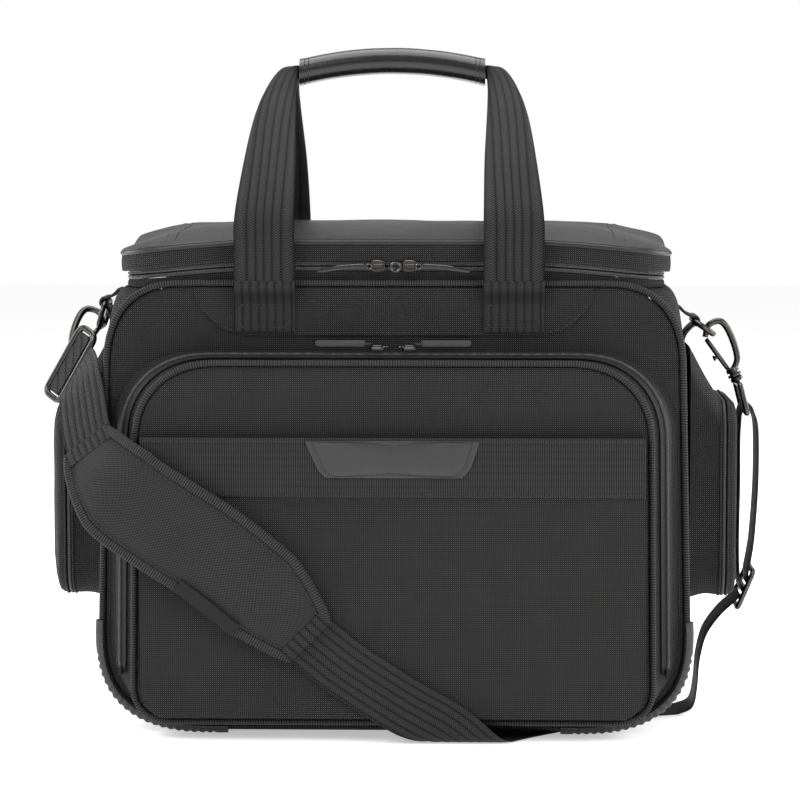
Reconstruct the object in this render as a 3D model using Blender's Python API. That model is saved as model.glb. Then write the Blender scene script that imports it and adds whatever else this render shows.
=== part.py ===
"""Soft-sided flight bag: padded body, domed zip lid, joined handles, pockets and shoulder strap.

Millimetres in the constants, metres in the mesh. +Z up, the front faces -Y, the floor is z = 0.
"""
import math

import bmesh
import bpy
from mathutils import Vector

MM = 0.001
GAP = 0.35

# body: the front and back panels share one rounded outline
BODY_Z = (4.6, 301.0)
BODY_HALF = (195.0, 191.0)
BODY_FOOT_CORNER = (74.0, 64.0, 2.6)
BODY_TOP_CORNER = (53.0, 61.0, 2.5)
FRONT_Y = -76.3
BACK_Y = 103.7
PANEL = 3.0
PIPING_R = 2.25
PIPING_SET_BACK = 1.0
GUSSET_Y = (-70.6, 98.0)
GUSSET_WALL = 2.5
GUSSET_TOP_Z = 297.0
GUARD_R = (2.6, 4.6)
GUARD_FLAT_X = 111.0
GUARD_TOP_Z = 76.0
LINER_RIM_Z = 292.0
LINER_INSET = 7.0
LINER_WALL = 1.6
LINER_Y = (-69.5, 97.0)
GUARD_SWEEP = math.radians(100.0)

# collar and lid share one rounded plan
COLLAR_Z = (297.5, 309.0)
COLLAR_HALF_X = 180.0
COLLAR_Y = (-72.4, 100.0)
COLLAR_CORNER = 38.0
WALL = 2.5
ZIP_Z = (309.3, 312.0, 312.4, 315.1)
ZIP_DEPTH = 2.2
LID_HALF_X = 184.0
LID_Y = (-74.0, 101.5)
LID_CORNER = 40.0
LID_Z = (315.5, 327.0)
LID_CROWN = 10.5
LID_CROWN_STAGES = ((0.0, 0.0), (14.0, 0.42), (38.0, 0.82), (64.0, 1.0))
LID_SKIN = 2.6
LID_BOARD_Z = (322.0, 324.0)
LID_AXIS = (0.0, 101.8, 311.5)

# front pocket
POCKET_BACK_Y = -76.8
POCKET_FRONT_Y = -100.6
POCKET_BASE = (12.0, 256.0, 189.0, 187.0, (67.0, 57.0, 2.6), (60.0, 58.0, 2.3))
POCKET_FACE = (13.0, 250.0, 171.0, 169.0, (26.0, 22.0, 2.2), (54.0, 52.0, 2.2))
COVER_Y = (-104.3, -102.3)
SLIP_Y = (-111.2, -109.5)
SLIP_TOP_Z = 202.0
BAND_Z = (163.0, 202.0)
BAND_Y = (-112.9, -111.5)
PATCH_Y = (-114.2, -113.2)

# side pockets
SIDE_X = (198.5, 220.0, 220.4, 223.2, 223.6, 232.0)
SIDE_Y = (-36.0, 78.0)
SIDE_Z = (86.0, 219.0)
SIDE_CORNER = 20.0
SIDE_BASE_Y = (-38.0, 81.0)
SIDE_BASE_Z = (84.0, 256.0)

# handles
HANDLE_X = -3.0
LEG_X = 82.0
LEG_WIDTH = 40.0
LEG_THICK = 2.0
SEWN_Z = 270.0
FOLD_Z = 303.0
FRONT_LEG_Y = -85.8
REAR_LEG_Y = 113.2
GRIP_HALF_LENGTH = 64.0
GRIP_Z = 448.5
GRIP_SAG = 8.0
GRIP_R = (7.1, 10.0)
CORE_Y = 2.9
CORE_HALF = (2.1, 4.2)
FOLD_OUT = LEG_THICK / 2.0 + 0.1

# hardware and strap
MID_Y = 12.0
STRAP_WIDTH = 38.0
STRAP_THICK = 1.6
RING_WIRE = 1.9

MATERIALS = {
    "ballistic_nylon": ((0.028, 0.028, 0.030), 0.72, 0.0),
    "nylon_webbing": ((0.040, 0.040, 0.041), 0.66, 0.0),
    "lid_leather": ((0.050, 0.050, 0.052), 0.42, 0.0),
    "grip_leather": ((0.018, 0.018, 0.019), 0.22, 0.0),
    "moulded_guard": ((0.045, 0.045, 0.046), 0.50, 0.0),
    "zip_coil": ((0.022, 0.022, 0.023), 0.45, 0.0),
    "dark_nickel": ((0.18, 0.17, 0.165), 0.28, 1.0),
    "lining_fabric": ((0.060, 0.060, 0.062), 0.80, 0.0),
    "stiffener_board": ((0.080, 0.080, 0.080), 0.60, 0.0),
    "strap_pad": ((0.036, 0.036, 0.037), 0.75, 0.0),
}


def clear_scene():
    for item in list(bpy.data.objects):
        bpy.data.objects.remove(item, do_unlink=True)


def material(slot, name):
    colour, rough, metal = MATERIALS[slot]
    made = bpy.data.materials.new(name + "_" + slot)
    made.use_nodes = True
    shader = made.node_tree.nodes["Principled BSDF"]
    shader.inputs["Base Color"].default_value = (*colour, 1.0)
    shader.inputs["Roughness"].default_value = rough
    shader.inputs["Metallic"].default_value = metal
    return made


def link(name, mesh_bm, slot, origin=(0.0, 0.0, 0.0)):
    """Turn a bmesh in millimetres into a named object whose origin lies at the given point."""
    bmesh.ops.recalc_face_normals(mesh_bm, faces=mesh_bm.faces)
    shift = Vector(origin)
    for vert in mesh_bm.verts:
        vert.co = (vert.co - shift) * MM
    data = bpy.data.meshes.new(name)
    mesh_bm.to_mesh(data)
    mesh_bm.free()
    data.materials.append(material(slot, name))
    data.shade_smooth()
    data.set_sharp_from_angle(angle=math.radians(35.0))
    made = bpy.data.objects.new(name, data)
    made.location = shift * MM
    bpy.context.scene.collection.objects.link(made)
    return made


def loft(name, rings, slot, closed=False, origin=(0.0, 0.0, 0.0)):
    """Skin rings of points in order. An open loft is capped, a closed one joins its ends."""
    bm = bmesh.new()
    rows = [[bm.verts.new(point) for point in ring] for ring in rings]
    pairs = list(zip(rows, rows[1:]))
    if closed:
        pairs.append((rows[-1], rows[0]))
    for low, high in pairs:
        count = len(low)
        for i in range(count):
            j = (i + 1) % count
            bm.faces.new((low[i], low[j], high[j], high[i]))
    if not closed:
        bm.faces.new(rows[0])
        bm.faces.new(list(reversed(rows[-1])))
    return link(name, bm, slot, origin)


def arc(centre, radii, power, start, steps):
    """Quarter of a rounded-square curve from angle start to start + 90 degrees, start included."""
    points = []
    for k in range(steps + 1):
        angle = start + math.pi / 2.0 * k / steps
        cosine = math.cos(angle)
        sine = math.sin(angle)
        across = math.copysign(abs(cosine) ** (2.0 / power), cosine)
        up = math.copysign(abs(sine) ** (2.0 / power), sine)
        points.append((centre[0] + radii[0] * across, centre[1] + radii[1] * up))
    return points


def outline(z_low, z_high, half_low, half_high, foot, top, inset=0.0, steps=7):
    """Closed front-view outline, counter-clockwise from the right end of the foot's flat."""
    z_low += inset
    z_high -= inset
    half_low -= inset
    half_high -= inset
    foot = (foot[0] - inset, foot[1] - inset, foot[2])
    top = (top[0] - inset, top[1] - inset, top[2])
    right = arc((half_low - foot[0], z_low + foot[1]), foot[:2], foot[2], -math.pi / 2.0, steps)
    right += arc((half_high - top[0], z_high - top[1]), top[:2], top[2], 0.0, steps)
    return right + [(-x, z) for x, z in reversed(right)]


def body_outline(inset=0.0, steps=7):
    return outline(*BODY_Z, *BODY_HALF, BODY_FOOT_CORNER, BODY_TOP_CORNER, inset, steps)


def plan(half_x, y_range, radius, inset=0.0, steps=5):
    """Closed rounded-rectangle plan, counter-clockwise from the front right corner."""
    x = half_x - inset - (radius - inset)
    y0 = y_range[0] + inset + (radius - inset)
    y1 = y_range[1] - inset - (radius - inset)
    size = (radius - inset, radius - inset)
    points = arc((x, y0), size, 2.0, -math.pi / 2.0, steps)
    points += arc((x, y1), size, 2.0, 0.0, steps)
    points += arc((-x, y1), size, 2.0, math.pi / 2.0, steps)
    points += arc((-x, y0), size, 2.0, math.pi, steps)
    return points


def slab_y(name, points, y_range, slot):
    return loft(name, [[(x, y, z) for x, z in points] for y in y_range], slot)


def slab_z(name, points, z_range, slot):
    return loft(name, [[(x, y, z) for x, y in points] for z in z_range], slot)


def box(name, low, high, slot, origin=(0.0, 0.0, 0.0)):
    corners = [(low[0], low[1]), (high[0], low[1]), (high[0], high[1]), (low[0], high[1])]
    return loft(name, [[(x, y, z) for x, y in corners] for z in (low[2], high[2])], slot, origin=origin)


def frames(path, closed, hint):
    """A tangent, an outward and a side direction at each point of a path."""
    made = []
    count = len(path)
    for i, point in enumerate(path):
        before = path[(i - 1) % count] if closed or i > 0 else point
        after = path[(i + 1) % count] if closed or i < count - 1 else point
        tangent = (Vector(after) - Vector(before)).normalized()
        side = Vector(hint)
        side = (side - side.dot(tangent) * tangent).normalized()
        made.append((Vector(point), tangent, side, tangent.cross(side)))
    return made


def sweep(name, path, section, slot, closed=False, hint=(0.0, 1.0, 0.0), origin=(0.0, 0.0, 0.0)):
    """Carry a closed section (side, up) along a path; side follows the hint direction."""
    rings = []
    for point, _, side, up in frames(path, closed, hint):
        rings.append([tuple(point + side * a + up * b) for a, b in section])
    return loft(name, rings, slot, closed, origin)


def round_section(radius, sides=8):
    steps = [2.0 * math.pi * (k + 0.5) / sides for k in range(sides)]
    return [(radius * math.cos(t), radius * math.sin(t)) for t in steps]


def bar_section(width, height):
    return [(-width / 2, -height / 2), (width / 2, -height / 2), (width / 2, height / 2), (-width / 2, height / 2)]


def smooth_path(points, per_span):
    """Points along a Catmull-Rom curve through the given points."""
    pts = [Vector(p) for p in points]
    pts = [2 * pts[0] - pts[1]] + pts + [2 * pts[-1] - pts[-2]]
    made = []
    for i in range(1, len(pts) - 2):
        a, b, c, d = pts[i - 1:i + 3]
        for k in range(per_span):
            t = k / per_span
            made.append(
                0.5 * (2 * b + (c - a) * t + (2 * a - 5 * b + 4 * c - d) * t * t
                       + (3 * b - a - 3 * c + d) * t ** 3))
    made.append(pts[-2])
    return made


# ---------------------------------------------------------------- body

def collar_x(y):
    """Half width of the collar's plan at a given depth."""
    reach = 0.0
    if y < COLLAR_Y[0] + COLLAR_CORNER:
        reach = COLLAR_Y[0] + COLLAR_CORNER - y
    elif y > COLLAR_Y[1] - COLLAR_CORNER:
        reach = y - (COLLAR_Y[1] - COLLAR_CORNER)
    return COLLAR_HALF_X - COLLAR_CORNER + math.sqrt(max(COLLAR_CORNER ** 2 - reach ** 2, 0.0))


def gusset_line(y, inset):
    """Front-view line of the gusset at one depth, from the right collar edge round the foot."""
    depth = (y - GUSSET_Y[0]) / (GUSSET_Y[1] - GUSSET_Y[0])
    swell = math.sin(math.pi * depth) ** 0.6
    half_top = BODY_HALF[1] + 1.0 - inset
    start = collar_x(y) - inset
    drop = 56.0 - 24.0 * swell
    right = arc((start, GUSSET_TOP_Z - drop), (half_top - start, drop), 2.4, 0.0, 6)
    right.reverse()
    half_low = BODY_HALF[0] + 1.0 - inset
    foot = (BODY_FOOT_CORNER[0] - inset, BODY_FOOT_CORNER[1] - inset)
    low = arc((half_low - foot[0], BODY_Z[0] + inset + foot[1]), foot, BODY_FOOT_CORNER[2], -math.pi / 2.0, 7)
    low.reverse()
    right += low
    return right + [(-x, z) for x, z in reversed(right)]


def body():
    panel_line = body_outline(PIPING_R + GAP)
    slab_y("front_panel", panel_line, (FRONT_Y, FRONT_Y + PANEL), "ballistic_nylon")
    slab_y("back_panel", panel_line, (BACK_Y - PANEL, BACK_Y), "ballistic_nylon")
    rows = 9
    depths = [GUSSET_Y[0] + (GUSSET_Y[1] - GUSSET_Y[0]) * k / (rows - 1) for k in range(rows)]
    outer = [gusset_line(y, 0.0) for y in depths]
    inner = [gusset_line(y, GUSSET_WALL) for y in depths]
    rings = []
    for i in range(len(outer[0])):
        ring = [(outer[k][i][0], depths[k], outer[k][i][1]) for k in range(rows)]
        ring += [(inner[k][i][0], depths[k], inner[k][i][1]) for k in reversed(range(rows))]
        rings.append(ring)
    loft("side_gusset", rings, "ballistic_nylon")
    edge = body_outline(0.0)
    for side, y in (("front", FRONT_Y + PIPING_SET_BACK), ("back", BACK_Y - PIPING_SET_BACK)):
        path = [(x, y, z) for x, z in edge]
        sweep(side + "_piping", path, round_section(PIPING_R, 6), "nylon_webbing", closed=True)
        guards(side, y)
    lining()
    box("base_board", (-118.0, -66.0, 8.2), (118.0, 94.0, 10.6), "stiffener_board")


def guard_section():
    """Open channel that caps the piping from outside: an outer arc out and an inner arc back."""
    steps = 6
    points = []
    for radius, order in ((GUARD_R[1], 1), (GUARD_R[0], -1)):
        for k in range(steps + 1):
            angle = order * (-GUARD_SWEEP + 2.0 * GUARD_SWEEP * k / steps)
            points.append((radius * math.sin(angle), -radius * math.cos(angle)))
    return points


def guards(side, y):
    """One moulded guard round each foot corner, from the base to the body's side."""
    foot = outline(*BODY_Z, *BODY_HALF, BODY_FOOT_CORNER, BODY_TOP_CORNER, 0.0, 12)[:13]
    flat_end = (GUARD_FLAT_X, BODY_Z[0])
    tall_end = (BODY_HALF[0] - 0.3, GUARD_TOP_Z)
    right = [flat_end] + foot + [tall_end]
    for hand, sign in (("right", 1.0), ("left", -1.0)):
        path = [(sign * x, y, z) for x, z in right]
        section = [(a, b * sign) for a, b in guard_section()]
        sweep("corner_guard_" + side + "_" + hand, path, section, "moulded_guard")


def liner_line(inset):
    """The body's outline, pulled in and cut level at the liner's rim."""
    right = [(x, z) for x, z in body_outline(inset) if x > 0.0 and z < LINER_RIM_Z - 1.0]
    last = right[-1]
    rim = [(last[0], LINER_RIM_Z), (-last[0], LINER_RIM_Z)]
    return right + rim + [(-x, z) for x, z in reversed(right)]


def lining():
    """Open-topped liner: an outer and an inner tray joined at the rim."""
    outer = liner_line(LINER_INSET)
    inner = liner_line(LINER_INSET + LINER_WALL)
    bm = bmesh.new()
    y_out = LINER_Y
    y_in = (LINER_Y[0] + LINER_WALL, LINER_Y[1] - LINER_WALL)
    loops = []
    for points, y_range in ((outer, y_out), (inner, y_in)):
        loops.append([[bm.verts.new((x, y, z)) for x, z in points] for y in y_range])
    for low, high in loops:
        count = len(low)
        top = next(i for i in range(count) if low[i].co.z > LINER_RIM_Z - 0.01)
        for i in range(count):
            if i == top:
                continue
            j = (i + 1) % count
            bm.faces.new((low[i], low[j], high[j], high[i]))
        bm.faces.new(low)
        bm.faces.new(list(reversed(high)))
    (o0, o1), (i0, i1) = loops
    rim_out = [o0[top], o0[top + 1], o1[top + 1], o1[top]]
    rim_in = [i0[top], i0[top + 1], i1[top + 1], i1[top]]
    for k in range(4):
        n = (k + 1) % 4
        bm.faces.new((rim_out[k], rim_out[n], rim_in[n], rim_in[k]))
    link("compartment_lining", bm, "lining_fabric")


def wall_ring(name, half_x, y_range, radius, z_range, thick, slot, origin=(0.0, 0.0, 0.0)):
    outer = plan(half_x, y_range, radius)
    inner = plan(half_x, y_range, radius, thick)
    rings = []
    for (xo, yo), (xi, yi) in zip(outer, inner):
        rings.append([(xo, yo, z_range[0]), (xo, yo, z_range[1]), (xi, yi, z_range[1]), (xi, yi, z_range[0])])
    return loft(name, rings, slot, closed=True, origin=origin)


def zip_run(name, half_x, y_range, radius, z_range, origin=(0.0, 0.0, 0.0)):
    """Half of a zip chain: three sides of the plan, open across the hinge at the back."""
    line = plan(half_x, y_range, radius)
    side_end = y_range[1] - radius
    right = [p for p in line if p[0] > 0.0 and p[1] <= side_end + 0.01]
    path = [(right[-1][0], side_end)] + list(reversed(right[:-1])) + [(-x, y) for x, y in right]
    path = [(x, y, (z_range[0] + z_range[1]) / 2.0) for x, y in path]
    return sweep(name, path, bar_section(z_range[1] - z_range[0], ZIP_DEPTH), "zip_coil",
                 hint=(0.0, 0.0, 1.0), origin=origin)


def collar_and_lid():
    wall_ring("collar", COLLAR_HALF_X, COLLAR_Y, COLLAR_CORNER, COLLAR_Z, WALL, "ballistic_nylon")
    zip_run("main_zipper_body_side", COLLAR_HALF_X - 1.0, COLLAR_Y, COLLAR_CORNER, ZIP_Z[:2])
    box("lid_hinge_strip", (-120.0, 97.2, 309.3), (120.0, 99.8, 311.2), "nylon_webbing")
    zip_run("main_zipper_lid_side", COLLAR_HALF_X - 1.0, COLLAR_Y, COLLAR_CORNER, ZIP_Z[2:], LID_AXIS)
    wall_ring("lid_side_band", LID_HALF_X, LID_Y, LID_CORNER, LID_Z, WALL, "ballistic_nylon", LID_AXIS)
    top, under = [], []
    for inset, share in LID_CROWN_STAGES:
        line = plan(LID_HALF_X, LID_Y, max(LID_CORNER, inset + 6.0), inset)
        z = LID_Z[1] + GAP + LID_CROWN * share
        top.append([(x, y, z + LID_SKIN) for x, y in line])
        under.append([(x, y, z) for x, y in line])
    loft("lid_top_panel", list(reversed(top)) + under, "lid_leather", origin=LID_AXIS)
    board = plan(LID_HALF_X - 7.0, (LID_Y[0] + 7.0, LID_Y[1] - 7.0), LID_CORNER - 7.0)
    made = [[(x, y, z) for x, y in board] for z in LID_BOARD_Z]
    loft("lid_stiffener", made, "stiffener_board", origin=LID_AXIS)


# ---------------------------------------------------------------- front pockets

def pocket_lines(steps=7):
    base = outline(*POCKET_BASE, 0.0, steps)
    face = outline(*POCKET_FACE, 0.0, steps)
    return base, face


def front_pocket():
    base, face = pocket_lines()
    base_in = outline(*POCKET_BASE, WALL)
    face_in = outline(*POCKET_FACE, WALL)
    rings = []
    for i in range(len(base)):
        rings.append([
            (base[i][0], POCKET_BACK_Y, base[i][1]), (face[i][0], POCKET_FRONT_Y, face[i][1]),
            (face_in[i][0], POCKET_FRONT_Y, face_in[i][1]), (base_in[i][0], POCKET_BACK_Y, base_in[i][1])])
    loft("front_pocket_gusset", rings, "ballistic_nylon", closed=True)
    slab_y("front_pocket_cover", outline(*POCKET_FACE, PIPING_R + GAP), COVER_Y, "ballistic_nylon")
    path = [(x, -103.0, z) for x, z in face]
    sweep("front_pocket_piping", path, round_section(2.1, 6), "nylon_webbing", closed=True)
    pocket_zip(base, face)
    slip_pocket()


def pocket_zip(base, face):
    """Coil strip that lies on the gusset: up one side, over the top and down the other."""
    low_z = 45.0
    run = [i for i in range(len(base)) if base[i][1] > 60.0]
    lines = [(Vector((base[i][0], POCKET_BACK_Y, base[i][1])), Vector((face[i][0], POCKET_FRONT_Y, face[i][1])))
             for i in run]
    foot = []
    for sign in (1.0, -1.0):
        foot.append((Vector((sign * 187.6, POCKET_BACK_Y, low_z)), Vector((sign * 170.6, POCKET_FRONT_Y, low_z))))
    lines = [foot[0]] + lines + [foot[1]]
    rings = []
    for i, (back, front) in enumerate(lines):
        before = lines[max(i - 1, 0)][0]
        after = lines[min(i + 1, len(lines) - 1)][0]
        normal = (after - before).cross(front - back).normalized()
        middle = back.lerp(front, 0.5)
        if normal.dot(Vector((middle.x, 0.0, middle.z - 120.0))) < 0.0:
            normal = -normal
        ends = (back.lerp(front, 0.42), back.lerp(front, 0.60))
        rings.append([tuple(ends[0] + normal * 1.0), tuple(ends[1] + normal * 1.0),
                      tuple(ends[1] + normal * 2.8), tuple(ends[0] + normal * 2.8)])
    loft("front_pocket_zipper", rings, "zip_coil")


def slip_pocket():
    """Open-topped flat tray over the lower part of the cover, its hem bound with a webbing band."""
    half = 161.0
    low_z = 19.0
    rim = 2.2
    lip_y = COVER_Y[0] - GAP
    outer = [(half, SLIP_TOP_Z), (-half, SLIP_TOP_Z), (-half - 1.5, low_z + 14.0), (-half + 14.0, low_z),
             (half - 14.0, low_z), (half + 1.5, low_z + 14.0)]
    bm = bmesh.new()
    front = [bm.verts.new((x, SLIP_Y[0], z)) for x, z in outer]
    back = [bm.verts.new((x, lip_y, z)) for x, z in outer]
    inner = [(half - rim, SLIP_TOP_Z), (-half + rim, SLIP_TOP_Z), (-half - 1.5 + rim, low_z + 15.0),
             (-half + 15.0, low_z + rim), (half - 15.0, low_z + rim), (half + 1.5 - rim, low_z + 15.0)]
    lip = [bm.verts.new((x, lip_y, z)) for x, z in inner]
    floor = [bm.verts.new((x, SLIP_Y[1], z)) for x, z in inner]
    bm.faces.new(front)
    bm.faces.new(floor)
    for i in range(1, 6):
        j = (i + 1) % 6
        bm.faces.new((front[i], front[j], back[j], back[i]))
        bm.faces.new((back[i], back[j], lip[j], lip[i]))
        bm.faces.new((lip[i], lip[j], floor[j], floor[i]))
    bm.faces.new((front[0], back[0], lip[0], floor[0], floor[1], lip[1], back[1], front[1]))
    link("slip_pocket_panel", bm, "ballistic_nylon")
    band = [(half, BAND_Z[0]), (half, BAND_Z[1]), (-half, BAND_Z[1]), (-half, BAND_Z[0])]
    slab_y("hem_band", band, BAND_Y, "nylon_webbing")
    patch = [(-56.8, 200.3), (-54.8, 194.4), (-48.2, 180.5), (-43.6, 175.9),
             (45.0, 175.9), (51.0, 181.9), (56.2, 197.7), (56.8, 200.3)]
    slab_y("leather_patch", patch, PATCH_Y, "lid_leather")


# ---------------------------------------------------------------- side pockets

def side_line(inset=0.0, y_range=SIDE_Y, z_range=SIDE_Z):
    """Closed outline of a side pocket in depth and height."""
    y0, y1 = y_range[0] + inset, y_range[1] - inset
    z0, z1 = z_range[0] + inset, z_range[1] - inset
    size = (SIDE_CORNER - inset, SIDE_CORNER - inset)
    centres = ((y1, z0, -1.0, 1.0), (y1, z1, -1.0, -1.0), (y0, z1, 1.0, -1.0), (y0, z0, 1.0, 1.0))
    points = []
    for k, (y, z, dy, dz) in enumerate(centres):
        points += arc((y + dy * size[0], z + dz * size[1]), size, 2.0, -math.pi / 2.0 + k * math.pi / 2.0, 4)
    return points


def side_pockets():
    for hand, sign in (("right", 1.0), ("left", -1.0)):
        lines = [(SIDE_X[0], side_line(0.0, SIDE_BASE_Y, SIDE_BASE_Z)), (SIDE_X[1], side_line()),
                 (SIDE_X[1], side_line(WALL)), (SIDE_X[0], side_line(WALL, SIDE_BASE_Y, SIDE_BASE_Z))]
        rings = [[(sign * x, *line[i]) for x, line in lines] for i in range(len(lines[0][1]))]
        loft("side_pocket_wall_" + hand, rings, "ballistic_nylon", closed=True)
        rings = [[(sign * x, y, z) for y, z in side_line(inset)] for x, inset in
                 ((SIDE_X[5] - WALL, WALL + 1.0), (SIDE_X[4], WALL), (SIDE_X[4], 0.0),
                  (SIDE_X[5] - 3.0, 0.0), (SIDE_X[5], 3.5))]
        loft("side_pocket_door_" + hand, rings, "ballistic_nylon")


# ---------------------------------------------------------------- handles

# height, lean towards the middle, share of the way in to the core, width
LEG_STAGES = (
    (FOLD_Z + 0.5, 0.0, 0.0, LEG_WIDTH), (345.0, 0.0, 0.0, 39.0), (380.0, 2.0, 0.30, 33.0),
    (411.0, 4.0, 0.62, 26.0), (431.0, 7.0, 0.86, 17.0), (440.0, 11.0, 0.97, 12.0))


def leg_sections(sign, y_leg, y_top):
    """Webbing leg from its fold line up to the grip: stands, leans in and folds to half width."""
    rings = []
    for z, lean_in, reach, width in LEG_STAGES:
        rings.append((HANDLE_X + sign * (LEG_X - lean_in), y_leg + (y_top - y_leg) * reach, z, width))
    return rings


def handle(name, grip_name, y_leg, facing):
    """One carrying loop: two legs and the core between them, in one length of webbing."""
    y_core = -facing * CORE_Y
    half_thick = LEG_THICK / 2.0
    rings = []
    for x, y, z, width in leg_sections(1.0, y_leg, y_core):
        rings.append([(x + width / 2, y - half_thick, z), (x + width / 2, y + half_thick, z),
                      (x - width / 2, y + half_thick, z), (x - width / 2, y - half_thick, z)])
    core = []
    for k in range(7):
        x = GRIP_HALF_LENGTH * (1.0 - 2.0 * k / 6.0)
        core.append((x, grip_height(x)))
    depth, height = CORE_HALF
    for reach, z in core:
        x = HANDLE_X + reach
        rings.append([(x, y_core - depth, z + height), (x, y_core + depth, z + height),
                      (x, y_core + depth, z - height), (x, y_core - depth, z - height)])
    for x, y, z, width in reversed(leg_sections(-1.0, y_leg, y_core)):
        rings.append([(x - width / 2, y - half_thick, z), (x - width / 2, y + half_thick, z),
                      (x + width / 2, y + half_thick, z), (x + width / 2, y - half_thick, z)])
    pivot = (0.0, y_leg - facing * FOLD_OUT, FOLD_Z)
    loft(name, rings, "nylon_webbing", origin=pivot)
    half_grip(grip_name, facing, pivot)


def grip_height(x):
    return GRIP_Z - GRIP_SAG * (x / GRIP_HALF_LENGTH) ** 2


def half_grip(name, facing, pivot):
    """Half of the leather wrap: a half round shell over the webbing core."""
    steps = 6
    rings = []
    for k in range(11):
        x = GRIP_HALF_LENGTH * (1.0 - 2.0 * k / 10.0) * 0.985
        z = grip_height(x)
        ring = []
        for radius, order in ((GRIP_R[1], 1), (GRIP_R[0], -1)):
            for n in range(steps + 1):
                angle = order * (-math.pi / 2.0 + math.pi * n / steps)
                y = -facing * max(radius * math.cos(angle), 0.0)
                ring.append((HANDLE_X + x, y - facing * 0.3, z + radius * math.sin(angle)))
        rings.append(ring)
    loft(name, rings, "grip_leather", origin=pivot)


def anchors():
    """Sewn feet of the handle webbing; they stand off over the piping below the fold line."""
    for side, y_panel, y_leg in (("front", FRONT_Y, FRONT_LEG_Y), ("rear", BACK_Y, REAR_LEG_Y)):
        out = -1.0 if side == "front" else 1.0
        flat = y_panel + out * (GAP + LEG_THICK / 2.0)
        line = [(flat, SEWN_Z), (flat, 286.0), (flat + out * 2.2, 291.0), (y_leg - out * 1.2, 296.0),
                (y_leg, 299.0), (y_leg, FOLD_Z - 0.3)]
        for hand, sign in (("right", 1.0), ("left", -1.0)):
            path = [(HANDLE_X + sign * LEG_X, y, z) for y, z in line]
            sweep("handle_anchor_" + side + "_" + hand, path, bar_section(LEG_WIDTH, LEG_THICK), "nylon_webbing",
                  hint=(1.0, 0.0, 0.0))


def handles():
    anchors()
    handle("front_handle", "front_grip_half", FRONT_LEG_Y, 1.0)
    handle("rear_handle", "rear_grip_half", REAR_LEG_Y, -1.0)


# ---------------------------------------------------------------- zip sliders

def slider(name, centre, size, slot="dark_nickel"):
    low = [c - s / 2.0 for c, s in zip(centre, size)]
    high = [c + s / 2.0 for c, s in zip(centre, size)]
    return box(name, low, high, slot, origin=centre)


def puller(name, pivot, far, thick, width, normal, slot):
    """Flat pull from its pivot to its far end; its broad face looks along the normal."""
    start, end = Vector(pivot), Vector(far)
    path = [tuple(start.lerp(end, k / 3.0)) for k in range(4)]
    side = (end - start).normalized().cross(Vector(normal))
    return sweep(name, path, bar_section(width, thick), slot, hint=tuple(side), origin=pivot)


SLIDER_X = 10.5
LID_SLIDER_Y = -76.6
LID_PULL_Y = -79.4
LID_SLIDER_Z = 312.2
POCKET_SLIDER_Y = -88.4
POCKET_SLIDER_Z = 258.6
POCKET_PULL_Z = 261.8
SIDE_SLIDER_Z = 128.0


def sliders():
    for hand, sign in (("right", 1.0), ("left", -1.0)):
        x = sign * SLIDER_X
        slider("lid_slider_" + hand, (x, LID_SLIDER_Y, LID_SLIDER_Z), (10.0, 3.0, 8.4))
        pivot = (sign * 12.0, LID_PULL_Y, LID_SLIDER_Z)
        puller("lid_puller_" + hand, pivot, (sign * 50.0, LID_PULL_Y, LID_SLIDER_Z - 1.0), 1.7, 6.0,
               (0.0, -1.0, 0.0), "dark_nickel")
        slider("pocket_slider_" + hand, (x, POCKET_SLIDER_Y, POCKET_SLIDER_Z), (10.0, 7.6, 2.6))
        pivot = (sign * 17.0, POCKET_SLIDER_Y, POCKET_PULL_Z)
        puller("pocket_puller_" + hand, pivot, (sign * 51.0, POCKET_SLIDER_Y, POCKET_PULL_Z), 2.4, 6.6,
               (0.0, 0.0, 1.0), "moulded_guard")
        x = sign * (SIDE_X[2] + SIDE_X[3]) / 2.0
        slider("side_slider_" + hand, (x, SIDE_Y[1] + 2.4, SIDE_SLIDER_Z), (8.0, 2.8, 10.0))


# ---------------------------------------------------------------- strap hardware

def wire_loop(name, centre, across, drop, half_width, length, corner, wire, slot="dark_nickel"):
    """Rounded rectangular wire ring: half_width along 'across', length along 'drop'."""
    across = Vector(across).normalized()
    drop = Vector(drop).normalized()
    path = []
    for a, b in plan(half_width, (-length / 2.0, length / 2.0), corner, 0.0, 3):
        path.append(tuple(Vector(centre) + across * a + drop * b))
    return sweep(name, path, round_section(wire, 6), slot, closed=True, hint=tuple(across.cross(drop)))


def hardware():
    for hand, sign in (("right", 1.0), ("left", -1.0)):
        tab = [(sign * 195.2, MID_Y, 266.0), (sign * 193.0, MID_Y, 280.0)]
        sweep("ring_tab_" + hand, tab, bar_section(30.0, 1.8), "lid_leather", hint=(0.0, 1.0, 0.0))
    wire_loop("d_ring_right", (209.6, MID_Y, 267.4), (0.0, 1.0, 0.0), (0.8, 0.0, -0.55), 19.0, 16.0, 7.0, RING_WIRE)
    wire_loop("d_ring_left", (-202.4, MID_Y, 275.4), (0.0, 1.0, 0.0), (-0.25, 0.0, -0.97), 19.0, 18.0, 7.0, RING_WIRE)


HOOK_TOP = Vector((217.5, MID_Y, 270.0))
HOOK_BASE = Vector((231.5, MID_Y, 236.0))
EYE_CENTRE = Vector((236.5, MID_Y, 219.0))
EYE_DROP = (7.0, 0.0, -28.0)
TRIGLIDE = Vector((239.0, MID_Y, 88.0))
RING_LEFT = Vector((-218.5, -46.0, 245.0))

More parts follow.
